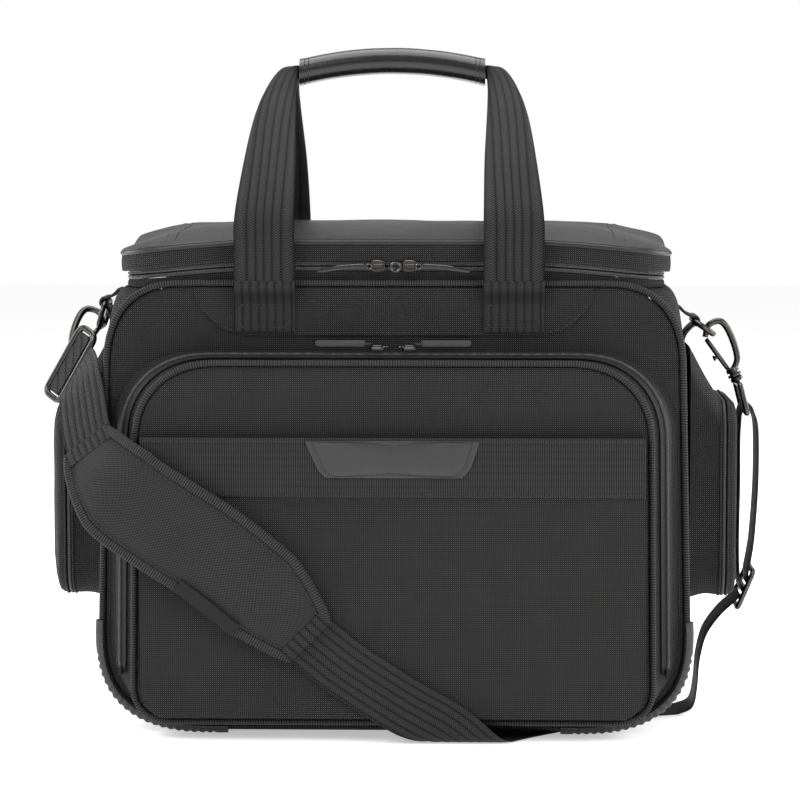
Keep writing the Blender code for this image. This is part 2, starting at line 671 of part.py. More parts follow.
# main webbing, first stretch: from the left ring down to where it lies flat on the front
HANG_ROUTE = (
    (-212.6, -56.5, 240.8), (-209.9, -65.2, 238.6), (-207.5, -75.5, 226.0), (-199.5, -92.0, 195.0), (-178.0, -112.5, 167.0),
    (-148.0, -117.6, 146.0), (-120.0, -117.4, 128.0), (-86.0, -116.6, 101.0), (-55.0, -115.4, 70.6))
HANG_ACROSS = (
    (0.50, 0.0, 0.86), (0.56, -0.06, 0.82), (0.68, -0.20, 0.66), (0.72, -0.22, 0.62), (0.64, -0.10, 0.76),
    (0.58, 0.0, 0.81), (0.60, 0.0, 0.80), (0.64, 0.0, 0.77), (0.64, 0.0, 0.77))
# second stretch, on the flattened front and base: distance to the right, distance down the fold
WRAP_ROUTE = (
    (-46.0, -51.0), (-28.0, -37.0), (6.0, -15.0), (34.0, 1.0), (50.0, 14.0), (62.0, 26.0),
    (76.0, 42.0), (96.0, 62.0), (122.0, 88.0), (146.0, 110.0), (168.0, 124.0), (186.0, 131.0))
WRAP_Y = -114.2
WRAP_FOLD_Z = 11.75
WRAP_FOLD_R = 10.7
# third stretch: up the right side to the adjuster
RISE_ROUTE = (
    (194.0, 12.0, 1.2), (203.4, 12.0, 6.0), (206.5, 12.0, 20.0), (208.0, 12.0, 38.0),
    (212.5, 12.0, 56.0), (222.0, 12.0, 70.0), (231.0, 12.0, 78.0))
STRAP_POINTS_ACROSS = 7


def wrap_point(right, down):
    """Place a point of the flattened front and base on the fold: down the front, round, and under."""
    quarter = WRAP_FOLD_R * math.pi / 2.0
    if down < 0.0:
        return Vector((right, WRAP_Y, WRAP_FOLD_Z - down))
    if down < quarter:
        angle = down / WRAP_FOLD_R
        centre_y = WRAP_Y + WRAP_FOLD_R
        return Vector((right, centre_y - WRAP_FOLD_R * math.cos(angle),
                       WRAP_FOLD_Z - WRAP_FOLD_R * math.sin(angle)))
    return Vector((right, WRAP_Y + WRAP_FOLD_R + down - quarter, WRAP_FOLD_Z - WRAP_FOLD_R))


def strap_rows(per_span):
    """Rows of points across the webbing, from the left ring to the adjuster on the right."""
    shares = [k / (STRAP_POINTS_ACROSS - 1) - 0.5 for k in range(STRAP_POINTS_ACROSS)]
    rows = []
    hang = smooth_path(HANG_ROUTE, per_span)
    ways = smooth_path(HANG_ACROSS, per_span)
    for i, point in enumerate(hang):
        tangent = hang[min(i + 1, len(hang) - 1)] - hang[max(i - 1, 0)]
        tangent.normalize()
        side = (ways[i] - ways[i].dot(tangent) * tangent).normalized() * STRAP_WIDTH
        rows.append([point + side * share for share in shares])
    wrap = smooth_path([(a, b, 0.0) for a, b in WRAP_ROUTE], per_span)
    for i, point in enumerate(wrap):
        tangent = wrap[min(i + 1, len(wrap) - 1)] - wrap[max(i - 1, 0)]
        side = Vector((tangent.y, -tangent.x)).normalized() * STRAP_WIDTH
        rows.append([wrap_point(point.x + side.x * share, point.y + side.y * share) for share in shares])
    for point in smooth_path(RISE_ROUTE, per_span):
        rows.append([point + Vector((0.0, -STRAP_WIDTH * share, 0.0)) for share in shares])
    return rows


def band_solid(name, rows, thick, slot):
    """Give rows of surface points a thickness, half to each side."""
    rings = []
    last = len(rows) - 1
    for i, row in enumerate(rows):
        upper, lower = [], []
        for k, point in enumerate(row):
            along = rows[min(i + 1, last)][k] - rows[max(i - 1, 0)][k]
            across = row[min(k + 1, len(row) - 1)] - row[max(k - 1, 0)]
            normal = across.cross(along).normalized() * thick / 2.0
            upper.append(tuple(point + normal))
            lower.append(tuple(point - normal))
        rings.append(upper + list(reversed(lower)))
    return loft(name, rings, slot)


def ribbon(name, route, across, width, thick, slot, per_span=3):
    """Flat band along a route whose width follows the given directions."""
    path = smooth_path(route, per_span)
    ways = smooth_path(across, per_span)
    rings = []
    last = len(path) - 1
    for i, point in enumerate(path):
        tangent = (path[min(i + 1, last)] - path[max(i - 1, 0)]).normalized()
        side = (ways[i] - ways[i].dot(tangent) * tangent).normalized() * width / 2.0
        up = tangent.cross(side).normalized() * thick / 2.0
        rings.append([tuple(point + side + up), tuple(point - side + up),
                      tuple(point - side - up), tuple(point + side - up)])
    return loft(name, rings, slot)


def strap_pad():
    """Shoulder pad over the webbing: narrow ends and a wide bound middle."""
    path = smooth_path(HANG_ROUTE, 2)[6:]
    ways = smooth_path(HANG_ACROSS, 2)[6:]
    rings = []
    last = len(path) - 1
    for i, point in enumerate(path):
        tangent = (path[min(i + 1, last)] - path[max(i - 1, 0)]).normalized()
        share = i / last
        width = 37.0 + 27.0 * min(math.sin(math.pi * share) * 1.7, 1.0)
        side = (ways[i] - ways[i].dot(tangent) * tangent).normalized()
        out = side.cross(tangent).normalized()
        if out.y > 0.0:
            out = -out
        ring = []
        for a, b in ((-0.5, 1.7), (0.5, 1.7), (0.5, 4.8), (0.36, 7.2), (-0.36, 7.2), (-0.5, 4.8)):
            ring.append(tuple(point + side * a * width + out * b))
        rings.append(ring)
    loft("strap_pad", rings, "strap_pad")


def snap_hook(hand, top, base):
    """Open wire hook with a swinging gate; the gate's pivot is at the foot of the wire."""
    along = (base - top).normalized()
    across = along.cross(Vector((0.0, 1.0, 0.0))).normalized()
    if across.x * (1.0 if hand == "right" else -1.0) < 0.0:
        across = -across
    reach = (base - top).length
    line = [base - across * 2.0, base - along * 8.0 + across * 5.6, top + along * 12.0 + across * 7.4,
            top + across * 4.6 + along * 1.0, top - across * 4.2 + along * 0.4, top + along * 7.0 - across * 9.2]
    sweep("hook_body_" + hand, smooth_path([tuple(p) for p in line], 3), round_section(2.3, 6), "dark_nickel")
    gate_top = top + along * 12.6 - across * 8.2
    gate_foot = base - along * 5.4 - across * 3.2
    path = [tuple(gate_foot.lerp(gate_top, k / 3.0)) for k in range(4)]
    if hand == "right":
        sweep("hook_gate_right", path, round_section(1.7, 6), "dark_nickel", origin=tuple(gate_foot))


def strap():
    band_solid("strap_webbing", strap_rows(2), STRAP_THICK, "nylon_webbing")
    strap_pad()
    loop = [(234.4, MID_Y, 104.0), (234.2, MID_Y, 124.0), (234.6, MID_Y, 160.0), (234.4, MID_Y, 190.0),
            (234.9, MID_Y, 202.0), (235.5, MID_Y, 209.0), (237.5, MID_Y, 213.6), (241.5, MID_Y, 213.9),
            (243.9, MID_Y, 209.5), (246.8, MID_Y, 197.0), (247.0, MID_Y, 160.0), (244.6, MID_Y, 124.0),
            (242.9, MID_Y, 107.0)]
    ribbon("strap_loop_webbing", loop, [(0.0, 1.0, 0.0)] * len(loop), STRAP_WIDTH, STRAP_THICK, "nylon_webbing", 2)
    tilt = Vector((11.5, 0.0, 27.3)).normalized()
    wire_loop("strap_triglide", TRIGLIDE, (0.0, 1.0, 0.0), tilt, 22.5, 27.0, 4.0, 1.9)
    wire_loop("swivel_eye_right", EYE_CENTRE, (0.0, 1.0, 0.0), EYE_DROP, 23.5, 20.0, 3.0, 1.9)
    snap_hook("right", HOOK_TOP, HOOK_BASE)
    snap_hook("left", Vector((-209.8, 8.0, 278.2)), Vector((-219.0, -16.0, 250.0)))
    bar = Vector((-25.4, 0.0, -44.7)).normalized()
    wire_loop("strap_ring_left", RING_LEFT, bar, Vector((0.62, -0.62, -0.36)), 25.5, 17.0, 5.0, 2.2)


def main():
    clear_scene()
    body()
    collar_and_lid()
    front_pocket()
    side_pockets()
    handles()
    sliders()
    hardware()
    strap()


main()
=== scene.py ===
"""Looks of the flight bag: cloth, webbing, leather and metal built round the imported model.

Lengths are in millimetres until a mesh is made, where MM turns them into metres.
+Z is up, the front faces -Y and the floor is z = 0.
"""
import math

import bmesh
import bpy
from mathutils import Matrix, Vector, noise


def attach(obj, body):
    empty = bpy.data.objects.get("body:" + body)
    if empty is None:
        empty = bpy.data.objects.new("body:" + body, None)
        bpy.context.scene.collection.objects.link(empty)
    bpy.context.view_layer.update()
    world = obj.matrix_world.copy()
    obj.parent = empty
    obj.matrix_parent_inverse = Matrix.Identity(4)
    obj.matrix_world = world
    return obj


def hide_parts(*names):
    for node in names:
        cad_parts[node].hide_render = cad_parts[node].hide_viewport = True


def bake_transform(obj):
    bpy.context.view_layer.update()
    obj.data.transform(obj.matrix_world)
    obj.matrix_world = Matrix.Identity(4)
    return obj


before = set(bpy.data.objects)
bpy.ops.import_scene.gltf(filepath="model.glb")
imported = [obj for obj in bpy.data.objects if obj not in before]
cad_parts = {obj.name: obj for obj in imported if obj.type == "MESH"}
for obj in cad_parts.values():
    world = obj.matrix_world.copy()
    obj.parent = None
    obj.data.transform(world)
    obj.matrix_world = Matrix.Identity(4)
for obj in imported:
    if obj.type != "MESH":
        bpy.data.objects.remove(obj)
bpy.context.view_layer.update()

MM = 0.001
UP = Vector((0.0, 0.0, 1.0))
DEPTH = Vector((0.0, 1.0, 0.0))
X = Vector((1.0, 0.0, 0.0))
OUT = Vector((0.0, -1.0, 0.0))
# width and face directions of a pull that leans back against the pocket
TILTED = (Vector((0.0, 0.6, 0.8)), Vector((0.0, -0.8, 0.6)))

# shared with the CAD model
BODY_Z = (4.6, 301.0)
BODY_HALF = (195.0, 191.0)
BODY_FOOT_CORNER = (74.0, 64.0, 2.6)
BODY_TOP_CORNER = (53.0, 61.0, 2.5)
FRONT_Y = -76.3
BACK_Y = 103.7
PIPING_R = 2.25
GUSSET_Y = (-70.6, 98.0)
GUSSET_WALL = 2.5
GUSSET_TOP_Z = 297.0
COLLAR_Z = (297.5, 309.0)
COLLAR_HALF_X = 180.0
COLLAR_Y = (-72.4, 100.0)
COLLAR_CORNER = 38.0
WALL = 2.5
ZIP_Z = (309.3, 312.0, 312.4, 315.1)
LID_HALF_X = 184.0
LID_Y = (-74.0, 101.5)
LID_CORNER = 40.0
LID_CROWN = 9.4
LID_SKIN_Z = 327.35
LID_BOARD_Z = (322.0, 324.0)
POCKET_BACK_Y = -76.8
POCKET_FRONT_Y = -100.6
POCKET_BASE = (12.0, 256.0, 189.0, 187.0, (67.0, 57.0, 2.6), (60.0, 58.0, 2.3))
POCKET_FACE = (13.0, 250.0, 171.0, 169.0, (26.0, 22.0, 2.2), (54.0, 52.0, 2.2))
SIDE_X = (198.5, 220.0, 220.4, 223.2, 223.6, 232.0)
SIDE_Y = (-36.0, 78.0)
SIDE_Z = (86.0, 219.0)
SIDE_CORNER = 20.0
SIDE_BASE_Y = (-38.0, 81.0)
SIDE_BASE_Z = (84.0, 256.0)
HANDLE_X = -3.0
LEG_X = 82.0
GRIP_Z = 448.5
FRONT_LEG_Y = -85.8
REAR_LEG_Y = 113.2
GRIP_HALF = 64.0
MID_Y = 12.0
STRAP_WIDTH = 38.0
# sag of the lid's soft ends: depth at the end, where it starts, and where it fades towards the hinge
DROOP = 8.0
DROOP_START_X = 90.0
DROOP_Y = (20.0, 96.0)
DROOPING = ("collar", "main_zip_", "lid_welt", "lid_low", "lid_band", "lid_top", "lid_board")


# ---------------------------------------------------------------- materials

class Shade:
    """Small helper that grows one Principled material."""

    def __init__(self, name, rough, metal=0.0, coat=0.0, sheen=0.0, specular=0.28):
        self.mat = bpy.data.materials.new(name)
        self.mat.use_nodes = True
        self.tree = self.mat.node_tree
        self.shader = self.tree.nodes["Principled BSDF"]
        for socket, value in (("Roughness", rough), ("Metallic", metal), ("Coat Weight", coat),
                              ("Sheen Weight", sheen), ("Specular IOR Level", specular)):
            self.shader.inputs[socket].default_value = value
        self.rough = rough
        self.specular = 0.0 if metal else specular

    def add(self, kind, **settings):
        node = self.tree.nodes.new(kind)
        for key, value in settings.items():
            setattr(node, key, value)
        return node

    def wire(self, value, socket):
        if isinstance(value, (int, float)):
            socket.default_value = value
        else:
            self.tree.links.new(value, socket)

    def math(self, operation, first, second=0.0):
        node = self.add("ShaderNodeMath", operation=operation)
        self.wire(first, node.inputs[0])
        self.wire(second, node.inputs[1])
        return node.outputs[0]

    def uv(self):
        split = self.add("ShaderNodeSeparateXYZ")
        self.tree.links.new(self.add("ShaderNodeTexCoord").outputs["UV"], split.inputs[0])
        return split.outputs[0], split.outputs[1]

    def wave(self, value, pitch_mm):
        return self.math("SINE", self.math("MULTIPLY", value, 2.0 * math.pi / (pitch_mm * MM)))

    def noise(self, per_metre, detail=3.0, space="Object"):
        node = self.add("ShaderNodeTexNoise")
        node.inputs["Scale"].default_value = per_metre
        node.inputs["Detail"].default_value = detail
        self.tree.links.new(self.add("ShaderNodeTexCoord").outputs[space], node.inputs["Vector"])
        return node.outputs["Fac"]

    def colour(self, share, dark, light, wear=0.16):
        """Blend two greys by a share and vary them slowly; where the share is thread height, the dark grey is
        painted shade in the hollows and the light grey a painted highlight on raised threads, which also
        shine more.
        """
        mix = self.add("ShaderNodeMix", data_type="RGBA")
        self.wire(share, mix.inputs[0])
        mix.inputs[6].default_value = (*dark, 1.0)
        mix.inputs[7].default_value = (*light, 1.0)
        scale = self.math("ADD", self.math("MULTIPLY", self.noise(38.0), 2.0 * wear), 1.0 - wear)
        vary = self.add("ShaderNodeMix", data_type="RGBA", blend_type="MULTIPLY")
        vary.inputs[0].default_value = 1.0
        self.tree.links.new(mix.outputs[2], vary.inputs[6])
        self.tree.links.new(scale, vary.inputs[7])
        self.tree.links.new(vary.outputs[2], self.shader.inputs["Base Color"])
        if self.specular:
            shine = self.math("MULTIPLY", share, 2.0 * self.specular)
            self.wire(shine, self.shader.inputs["Specular IOR Level"])

    def vary_rough(self, share, spread):
        self.tree.links.new(
            self.math("ADD", self.math("MULTIPLY", share, spread), self.rough - spread / 2.0),
            self.shader.inputs["Roughness"])

    def bump(self, height, depth_mm, strength=1.0):
        node = self.add("ShaderNodeBump")
        node.inputs["Strength"].default_value = strength
        node.inputs["Distance"].default_value = depth_mm * MM
        self.tree.links.new(height, node.inputs["Height"])
        self.tree.links.new(node.outputs[0], self.shader.inputs["Normal"])


def grey(value, warm=0.0):
    return (value * (1.0 + warm), value, value * (1.0 - warm * 0.5))


def weave(name, dark, light, pitch, depth, rough=0.62):
    """Basket weave: rows of small raised floats whose brightness alternates."""
    s = Shade(name, rough)
    u, v = s.uv()
    rising = s.wave(s.math("ADD", u, v), 1.5 * pitch)
    falling = s.wave(s.math("SUBTRACT", u, v), 1.5 * pitch)
    cell = s.math("MULTIPLY", rising, falling)
    height = s.math("ABSOLUTE", cell)
    side = s.math("ADD", s.math("MULTIPLY", cell, 0.35), 0.65)
    # colour follows thread height: dark hollows between floats are painted shade, lighter raised floats a
    # painted highlight
    s.colour(s.math("MULTIPLY", height, side), grey(dark), grey(light))
    s.vary_rough(height, 0.12)
    s.bump(height, depth)
    return s.mat


def herringbone(name, dark, light, rib=5.4, pitch=1.7, depth=0.28, rough=0.52):
    """Webbing: zigzag picks in lengthwise ribs. u runs across, v along."""
    s = Shade(name, rough, specular=0.15)
    u, v = s.uv()
    fold = s.math("PINGPONG", u, rib * MM / 2.0)
    picks = s.wave(s.math("ADD", v, fold), pitch)
    ribs = s.math("ABSOLUTE", s.wave(u, rib * 2.0))
    zigzag = s.math("ADD", s.math("MULTIPLY", picks, 0.35), 0.65)
    height = s.math("MULTIPLY", zigzag, s.math("POWER", ribs, 0.35))
    # colour follows rib height: dark grooves are painted shade, lighter raised picks a painted highlight
    s.colour(height, grey(dark), grey(light))
    s.vary_rough(height, 0.10)
    s.bump(height, depth)
    return s.mat


def cross_rib(name, dark, light, pitch=1.1, depth=0.2, rough=0.55):
    """Woven binding tape and piping: fine ribs across the run."""
    s = Shade(name, rough, specular=0.15)
    u, v = s.uv()
    ribs = s.math("ABSOLUTE", s.wave(v, 2.0 * pitch))
    height = s.math("ADD", s.math("MULTIPLY", ribs, 0.8), s.math("MULTIPLY", s.wave(u, 1.3), 0.1))
    # colour follows rib height: dark gaps between ribs are painted shade, lighter raised ribs a painted
    # highlight
    s.colour(height, grey(dark), grey(light))
    s.bump(height, depth)
    return s.mat


def ribbed_band(name, dark, light, pitch=1.5, line_pitch=4.6, depth=0.25):
    """Hem webbing: upright ribs with faint lines along the band."""
    s = Shade(name, 0.58, specular=0.17)
    u, v = s.uv()
    ribs = s.math("ABSOLUTE", s.wave(v, 2.0 * pitch))
    lines = s.math("ABSOLUTE", s.wave(u, 2.0 * line_pitch))
    faint = s.math("ADD", s.math("MULTIPLY", s.math("POWER", lines, 0.3), 0.4), 0.6)
    height = s.math("MULTIPLY", ribs, faint)
    # colour follows rib height: dark gaps between ribs are painted shade, lighter raised ribs a painted
    # highlight
    s.colour(height, grey(dark), grey(light))
    s.bump(height, depth)
    return s.mat


def twill(name, dark, light, pitch=1.0, depth=0.16):
    s = Shade(name, 0.70, specular=0.20)
    u, v = s.uv()
    lines = s.wave(s.math("ADD", u, v), pitch * 1.4)
    picks = s.wave(s.math("SUBTRACT", u, v), pitch * 2.3)
    ground = s.math("ADD", s.math("MULTIPLY", picks, 0.15), 0.5)
    height = s.math("ADD", s.math("MULTIPLY", lines, 0.35), ground)
    # colour follows twill height: dark hollows are painted shade, lighter raised lines a painted highlight
    s.colour(height, grey(dark), grey(light))
    s.bump(height, depth)
    return s.mat


def leather(name, dark, light, rough, grain=900.0, depth=0.10, coat=0.0):
    """Coated leather: pebbled grain, soft creases and uneven gloss that the creases don't dull."""
    s = Shade(name, rough, coat=coat, specular=0.36)
    s.specular = 0.0
    cells = s.add("ShaderNodeTexVoronoi", feature="DISTANCE_TO_EDGE")
    cells.inputs["Scale"].default_value = grain
    s.tree.links.new(s.add("ShaderNodeTexCoord").outputs["Object"], cells.inputs["Vector"])
    grained = s.math("MINIMUM", s.math("MULTIPLY", cells.outputs["Distance"], 5.0), 1.0)
    creases = s.noise(160.0, 5.0)
    height = s.math("ADD", s.math("MULTIPLY", grained, 0.5), s.math("MULTIPLY", creases, 0.8))
    s.colour(creases, grey(dark), grey(light), 0.22)
    s.vary_rough(s.noise(70.0, 4.0), 0.16)
    s.bump(height, depth)
    return s.mat


def metal(name, tone, rough):
    """Dark plated metal with faint brushing and handling marks."""
    s = Shade(name, rough, metal=1.0)
    marks = s.noise(420.0, 6.0)
    s.colour(marks, grey(tone * 0.75, 0.05), grey(tone * 1.25, 0.05), 0.10)
    s.vary_rough(s.noise(140.0, 4.0), 0.18)
    s.bump(marks, 0.02, 0.5)
    return s.mat


def plastic(name, tone, rough):
    s = Shade(name, rough)
    specks = s.noise(1500.0, 2.0)
    s.colour(specks, grey(tone * 0.8), grey(tone * 1.2), 0.12)
    s.vary_rough(s.noise(90.0), 0.12)
    s.bump(specks, 0.05)
    return s.mat


MATS = {
    "nylon": weave("m_ballistic_nylon", 0.002, 0.078, 1.8, 0.50),
    "webbing": herringbone("m_webbing", 0.002, 0.021),
    "hem": ribbed_band("m_hem_webbing", 0.0015, 0.020),
    "piping": cross_rib("m_piping", 0.003, 0.036, 1.7, 0.35),
    "tape": cross_rib("m_zip_tape", 0.005, 0.022, 0.8, 0.12),
    "lid": leather("m_lid_leather", 0.007, 0.014, 0.36),
    "patch": leather("m_patch_leather", 0.020, 0.030, 0.44, 1100.0, 0.07),
    "grip": leather("m_grip_leather", 0.004, 0.008, 0.22, 1000.0, 0.06, coat=0.3),
    "tab": leather("m_tab_leather", 0.006, 0.012, 0.42),
    "guard": plastic("m_guard_rubber", 0.036, 0.42),
    "coil": plastic("m_zip_coil", 0.034, 0.32),
    "pull": plastic("m_moulded_pull", 0.020, 0.42),
    "nickel": metal("m_dark_nickel", 0.065, 0.26),
    "lining": weave("m_lining", 0.020, 0.055, 0.6, 0.10, 0.7),
    "board": plastic("m_board", 0.06, 0.6),
    "pad": twill("m_pad_fabric", 0.002, 0.030),
    "thread": cross_rib("m_thread", 0.014, 0.055, 0.6, 0.08),
    "label": twill("m_blank_label", 0.006, 0.014, 0.5, 0.06),
}


# ---------------------------------------------------------------- mesh tools

def face_uv(face, layer):
    """Project a face flat along its main direction, in metres."""
    n = [abs(c) for c in face.normal]
    main = n.index(max(n))
    first, second = ((1, 2), (0, 2), (0, 1))[main]
    for corner in face.loops:
        corner[layer].uv = (corner.vert.co[first], corner.vert.co[second])


def droop(p):
    """How far the soft ends of the lid and its zip sag, in millimetres."""
    beyond = max(abs(p.x) - DROOP_START_X, 0.0) / (LID_HALF_X - DROOP_START_X)
    risen = clamp((p.z - COLLAR_Z[0]) / (COLLAR_Z[1] - COLLAR_Z[0]))
    forward = clamp((DROOP_Y[1] - p.y) / (DROOP_Y[1] - DROOP_Y[0]))
    return DROOP * beyond ** 1.4 * risen * forward * forward * (3.0 - 2.0 * forward)


def finish_mesh(name, bm, mat, body, nodes, sharp=38.0):
    bmesh.ops.recalc_face_normals(bm, faces=bm.faces)
    if name.startswith(DROOPING):
        for vert in bm.verts:
            vert.co.z -= droop(vert.co / MM) * MM
    mesh = bpy.data.meshes.new(name)
    bm.to_mesh(mesh)
    bm.free()
    mesh.materials.append(MATS[mat])
    mesh.shade_smooth()
    mesh.set_sharp_from_angle(angle=math.radians(sharp))
    piece = bpy.data.objects.new(name, mesh)
    bpy.context.scene.collection.objects.link(piece)
    if body:
        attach(piece, body)
    if nodes:
        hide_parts(*nodes)
    return piece


def add_rows(bm, rows, loop, caps, uv):
    """Skin rings of points. uv "run" measures round and along the rows, "box" projects each face flat."""
    layer = bm.loops.layers.uv.verify()
    if rows[0] is rows[-1]:
        # the first ring given again at the end asks for a closed ring of rows
        rows, loop = rows[:-1], True
    grid = [[bm.verts.new(Vector(p) * MM) for p in ring] for ring in rows]
    count = len(grid[0])
    middle = grid[len(grid) // 2]
    around = [0.0]
    for j in range(count):
        around.append(around[-1] + (middle[(j + 1) % count].co - middle[j].co).length)
    along = [0.0]
    total = len(grid)
    for i in range(total if loop else total - 1):
        low, high = grid[i], grid[(i + 1) % total]
        step = sum((high[j].co - low[j].co).length for j in range(0, count, 2)) / len(range(0, count, 2))
        along.append(along[-1] + step)
        for j in range(count):
            k = (j + 1) % count
            face = bm.faces.new((low[j], low[k], high[k], high[j]))
            if uv == "run":
                spots = ((around[j], along[i]), (around[j + 1], along[i]),
                         (around[j + 1], along[i + 1]), (around[j], along[i + 1]))
                for corner, spot in zip(face.loops, spots):
                    corner[layer].uv = spot
    if caps and not loop:
        bm.faces.new(grid[0])
        bm.faces.new(list(reversed(grid[-1])))
    if uv == "box":
        bm.normal_update()
        for face in bm.faces:
            face_uv(face, layer)


def loft(name, rows, mat, body="root", nodes=(), loop=False, caps=True, uv="box", sharp=38.0):
    bm = bmesh.new()
    add_rows(bm, rows, loop, caps, uv)
    return finish_mesh(name, bm, mat, body, nodes, sharp)


def many(name, parts, mat, body="root", nodes=(), uv="run", loop=False):
    """Several lofts in one piece."""
    bm = bmesh.new()
    for rows in parts:
        add_rows(bm, rows, loop, True, uv)
    return finish_mesh(name, bm, mat, body, nodes)


def tube(name, path, section, mat, body="root", nodes=(), closed=False, hint=DEPTH, sharp=38.0):
    """A section carried along a path, as one piece."""
    return loft(name, ring_rows(path, section, closed, hint), mat, body, nodes, closed, uv="run", sharp=sharp)


def clamp(share):
    return min(max(share, 0.0), 1.0)


def arc(centre, radii, power, start, steps):
    points = []
    for k in range(steps + 1):
        angle = start + math.pi / 2.0 * k / steps
        cosine = math.cos(angle)
        sine = math.sin(angle)
        across = math.copysign(abs(cosine) ** (2.0 / power), cosine)
        up = math.copysign(abs(sine) ** (2.0 / power), sine)
        points.append((centre[0] + radii[0] * across, centre[1] + radii[1] * up))
    return points


def outline(z_low, z_high, half_low, half_high, foot, top, inset=0.0, steps=14):
    """Closed front-view outline, counter-clockwise from the right end of the foot's flat."""
    z_low += inset
    z_high -= inset
    half_low -= inset
    half_high -= inset
    foot = (foot[0] - inset, foot[1] - inset, foot[2])
    top = (top[0] - inset, top[1] - inset, top[2])
    right = arc((half_low - foot[0], z_low + foot[1]), foot[:2], foot[2], -math.pi / 2.0, steps)
    right += arc((half_high - top[0], z_high - top[1]), top[:2], top[2], 0.0, steps)
    return right + [(-x, z) for x, z in reversed(right)]


def body_outline(inset=0.0, steps=14):
    return outline(*BODY_Z, *BODY_HALF, BODY_FOOT_CORNER, BODY_TOP_CORNER, inset, steps)


def plan(half_x, y_range, radius, inset=0.0, steps=8):
    """Closed rounded-rectangle plan, counter-clockwise from the front right corner."""
    x = half_x - radius
    y0 = y_range[0] + radius
    y1 = y_range[1] - radius
    size = (radius - inset, radius - inset)
    points = []
    for n, centre in enumerate(((x, y0), (x, y1), (-x, y1), (-x, y0))):
        points += arc(centre, size, 2.0, (n - 1) * math.pi / 2.0, steps)
    return points


def split_counts(line, step):
    count = len(line)
    return [max(1, round((Vector(line[(i + 1) % count]) - Vector(line[i])).length / step))
            for i in range(count)]


def dense(line, counts):
    """Add evenly spaced points on each side of a closed line."""
    made = []
    for i, count in enumerate(counts):
        a, b = Vector(line[i]), Vector(line[(i + 1) % len(line)])
        made += [a.lerp(b, k / count) for k in range(count)]
    return made


def divided(line, step):
    """A closed line with points about a step apart."""
    return dense(line, split_counts(line, step))


def upright(line, y):
    """Stand a front-view line up at a depth."""
    return [Vector((x, y, z)) for x, z in line]


def smooth_path(points, per_span):
    """Points along a Catmull-Rom curve through the given points."""
    pts = [Vector(p) for p in points]
    pts = [2 * pts[0] - pts[1]] + pts + [2 * pts[-1] - pts[-2]]
    made = []
    for i in range(1, len(pts) - 2):
        a, b, c, d = pts[i - 1:i + 3]
        for k in range(per_span):
            t = k / per_span
            made.append(0.5 * (2 * b + (c - a) * t + (2 * a - 5 * b + 4 * c - d) * t * t
                               + (3 * b - a - 3 * c + d) * t ** 3))
    made.append(pts[-2])
    return made


def even(path, step, closed=False):
    """Points a fixed distance apart along a path."""
    pts = [Vector(p) for p in path] + ([Vector(path[0])] if closed else [])
    total = sum((b - a).length for a, b in zip(pts, pts[1:]))
    count = max(2, round(total / step))
    made, at, walked = [], 0, 0.0
    for k in range(count + (0 if closed else 1)):
        want = total * k / count
        while at < len(pts) - 2 and walked + (pts[at + 1] - pts[at]).length < want:
            walked += (pts[at + 1] - pts[at]).length
            at += 1
        span = (pts[at + 1] - pts[at]).length or 1.0
        made.append(pts[at].lerp(pts[at + 1], min((want - walked) / span, 1.0)))
    return made


def ring_rows(path, section, closed=False, hint=DEPTH):
    """Carry a section along a path. The section may be a list or a function of the distance walked."""
    rows = []
    count = len(path)
    walked = 0.0
    for i, point in enumerate(path):
        before = path[(i - 1) % count] if closed or i > 0 else point
        after = path[(i + 1) % count] if closed or i < count - 1 else point
        tangent = (Vector(after) - Vector(before)).normalized()
        side = (hint - hint.dot(tangent) * tangent).normalized()
        up = tangent.cross(side)
        shape = section(walked) if callable(section) else section
        rows.append([Vector(point) + side * a + up * b for a, b in shape])
        if i < count - 1:
            walked += (Vector(path[i + 1]) - Vector(point)).length
    return rows


def disc(radius, sides=10, squash=1.0):
    return [(radius * math.cos(2.0 * math.pi * k / sides),
             squash * radius * math.sin(2.0 * math.pi * k / sides)) for k in range(sides)]


def bar(width, height, soft=0.3):
    """Rectangle with softened corners: width along the hint, height across it."""
    w, h = width / 2.0, height / 2.0
    s = min(soft, w * 0.9, h * 0.9)
    return [(-w + s, -h), (0.0, -h), (w - s, -h), (w, -h + s), (w, h - s), (w - s, h), (0.0, h), (-w + s, h),
            (-w, h - s), (-w, -h + s)]


def wander(point, size, amount, seed=0.0):
    """Smooth made-up unevenness of a cloth surface."""
    return amount * noise.noise(Vector(point) / size + Vector((seed, seed * 0.7, -seed)))


def stitch_rows(path, normal, step=3.6, length=2.6, radius=0.34, closed=False):
    """Little raised thread lengths along a path."""
    parts = []
    spots = even(path, step, closed)
    for i, start in enumerate(spots[:-1]):
        ahead = (spots[i + 1] - start).normalized()
        out = normal(start) if callable(normal) else Vector(normal)
        side = ahead.cross(out).normalized()
        out = side.cross(ahead)
        rows = []
        for share, size in ((0.0, 0.35), (0.2, 1.0), (0.8, 1.0), (1.0, 0.35)):
            centre = start + ahead * length * share + out * radius * 0.35
            rows.append([centre + side * radius * size * a + out * radius * size * b
                         for a, b in ((1, 0), (0, 1), (-1, 0), (0, -1))])
        parts.append(rows)
    return parts


def stitches(name, paths, body="root", **settings):
    parts = []
    for path, normal in paths:
        parts += stitch_rows(path, normal, **settings)
    return many(name, parts, "thread", body)


# ---------------------------------------------------------------- camera, light and floor

# metres and degrees, unlike the rest
CAMERA_TARGET = (0.004, -0.075, 0.2237)
CAMERA_AZIMUTH = 1.5
CAMERA_ELEVATION = 5.0
CAMERA_DISTANCE = 2.0
CAMERA_LENS = 136.0
FLOOR_HALF = 6.0
# light that reaches the object from all round; the camera itself sees plain white
WORLD_LIGHT = 0.52
FLOOR_GLOW = 0.45
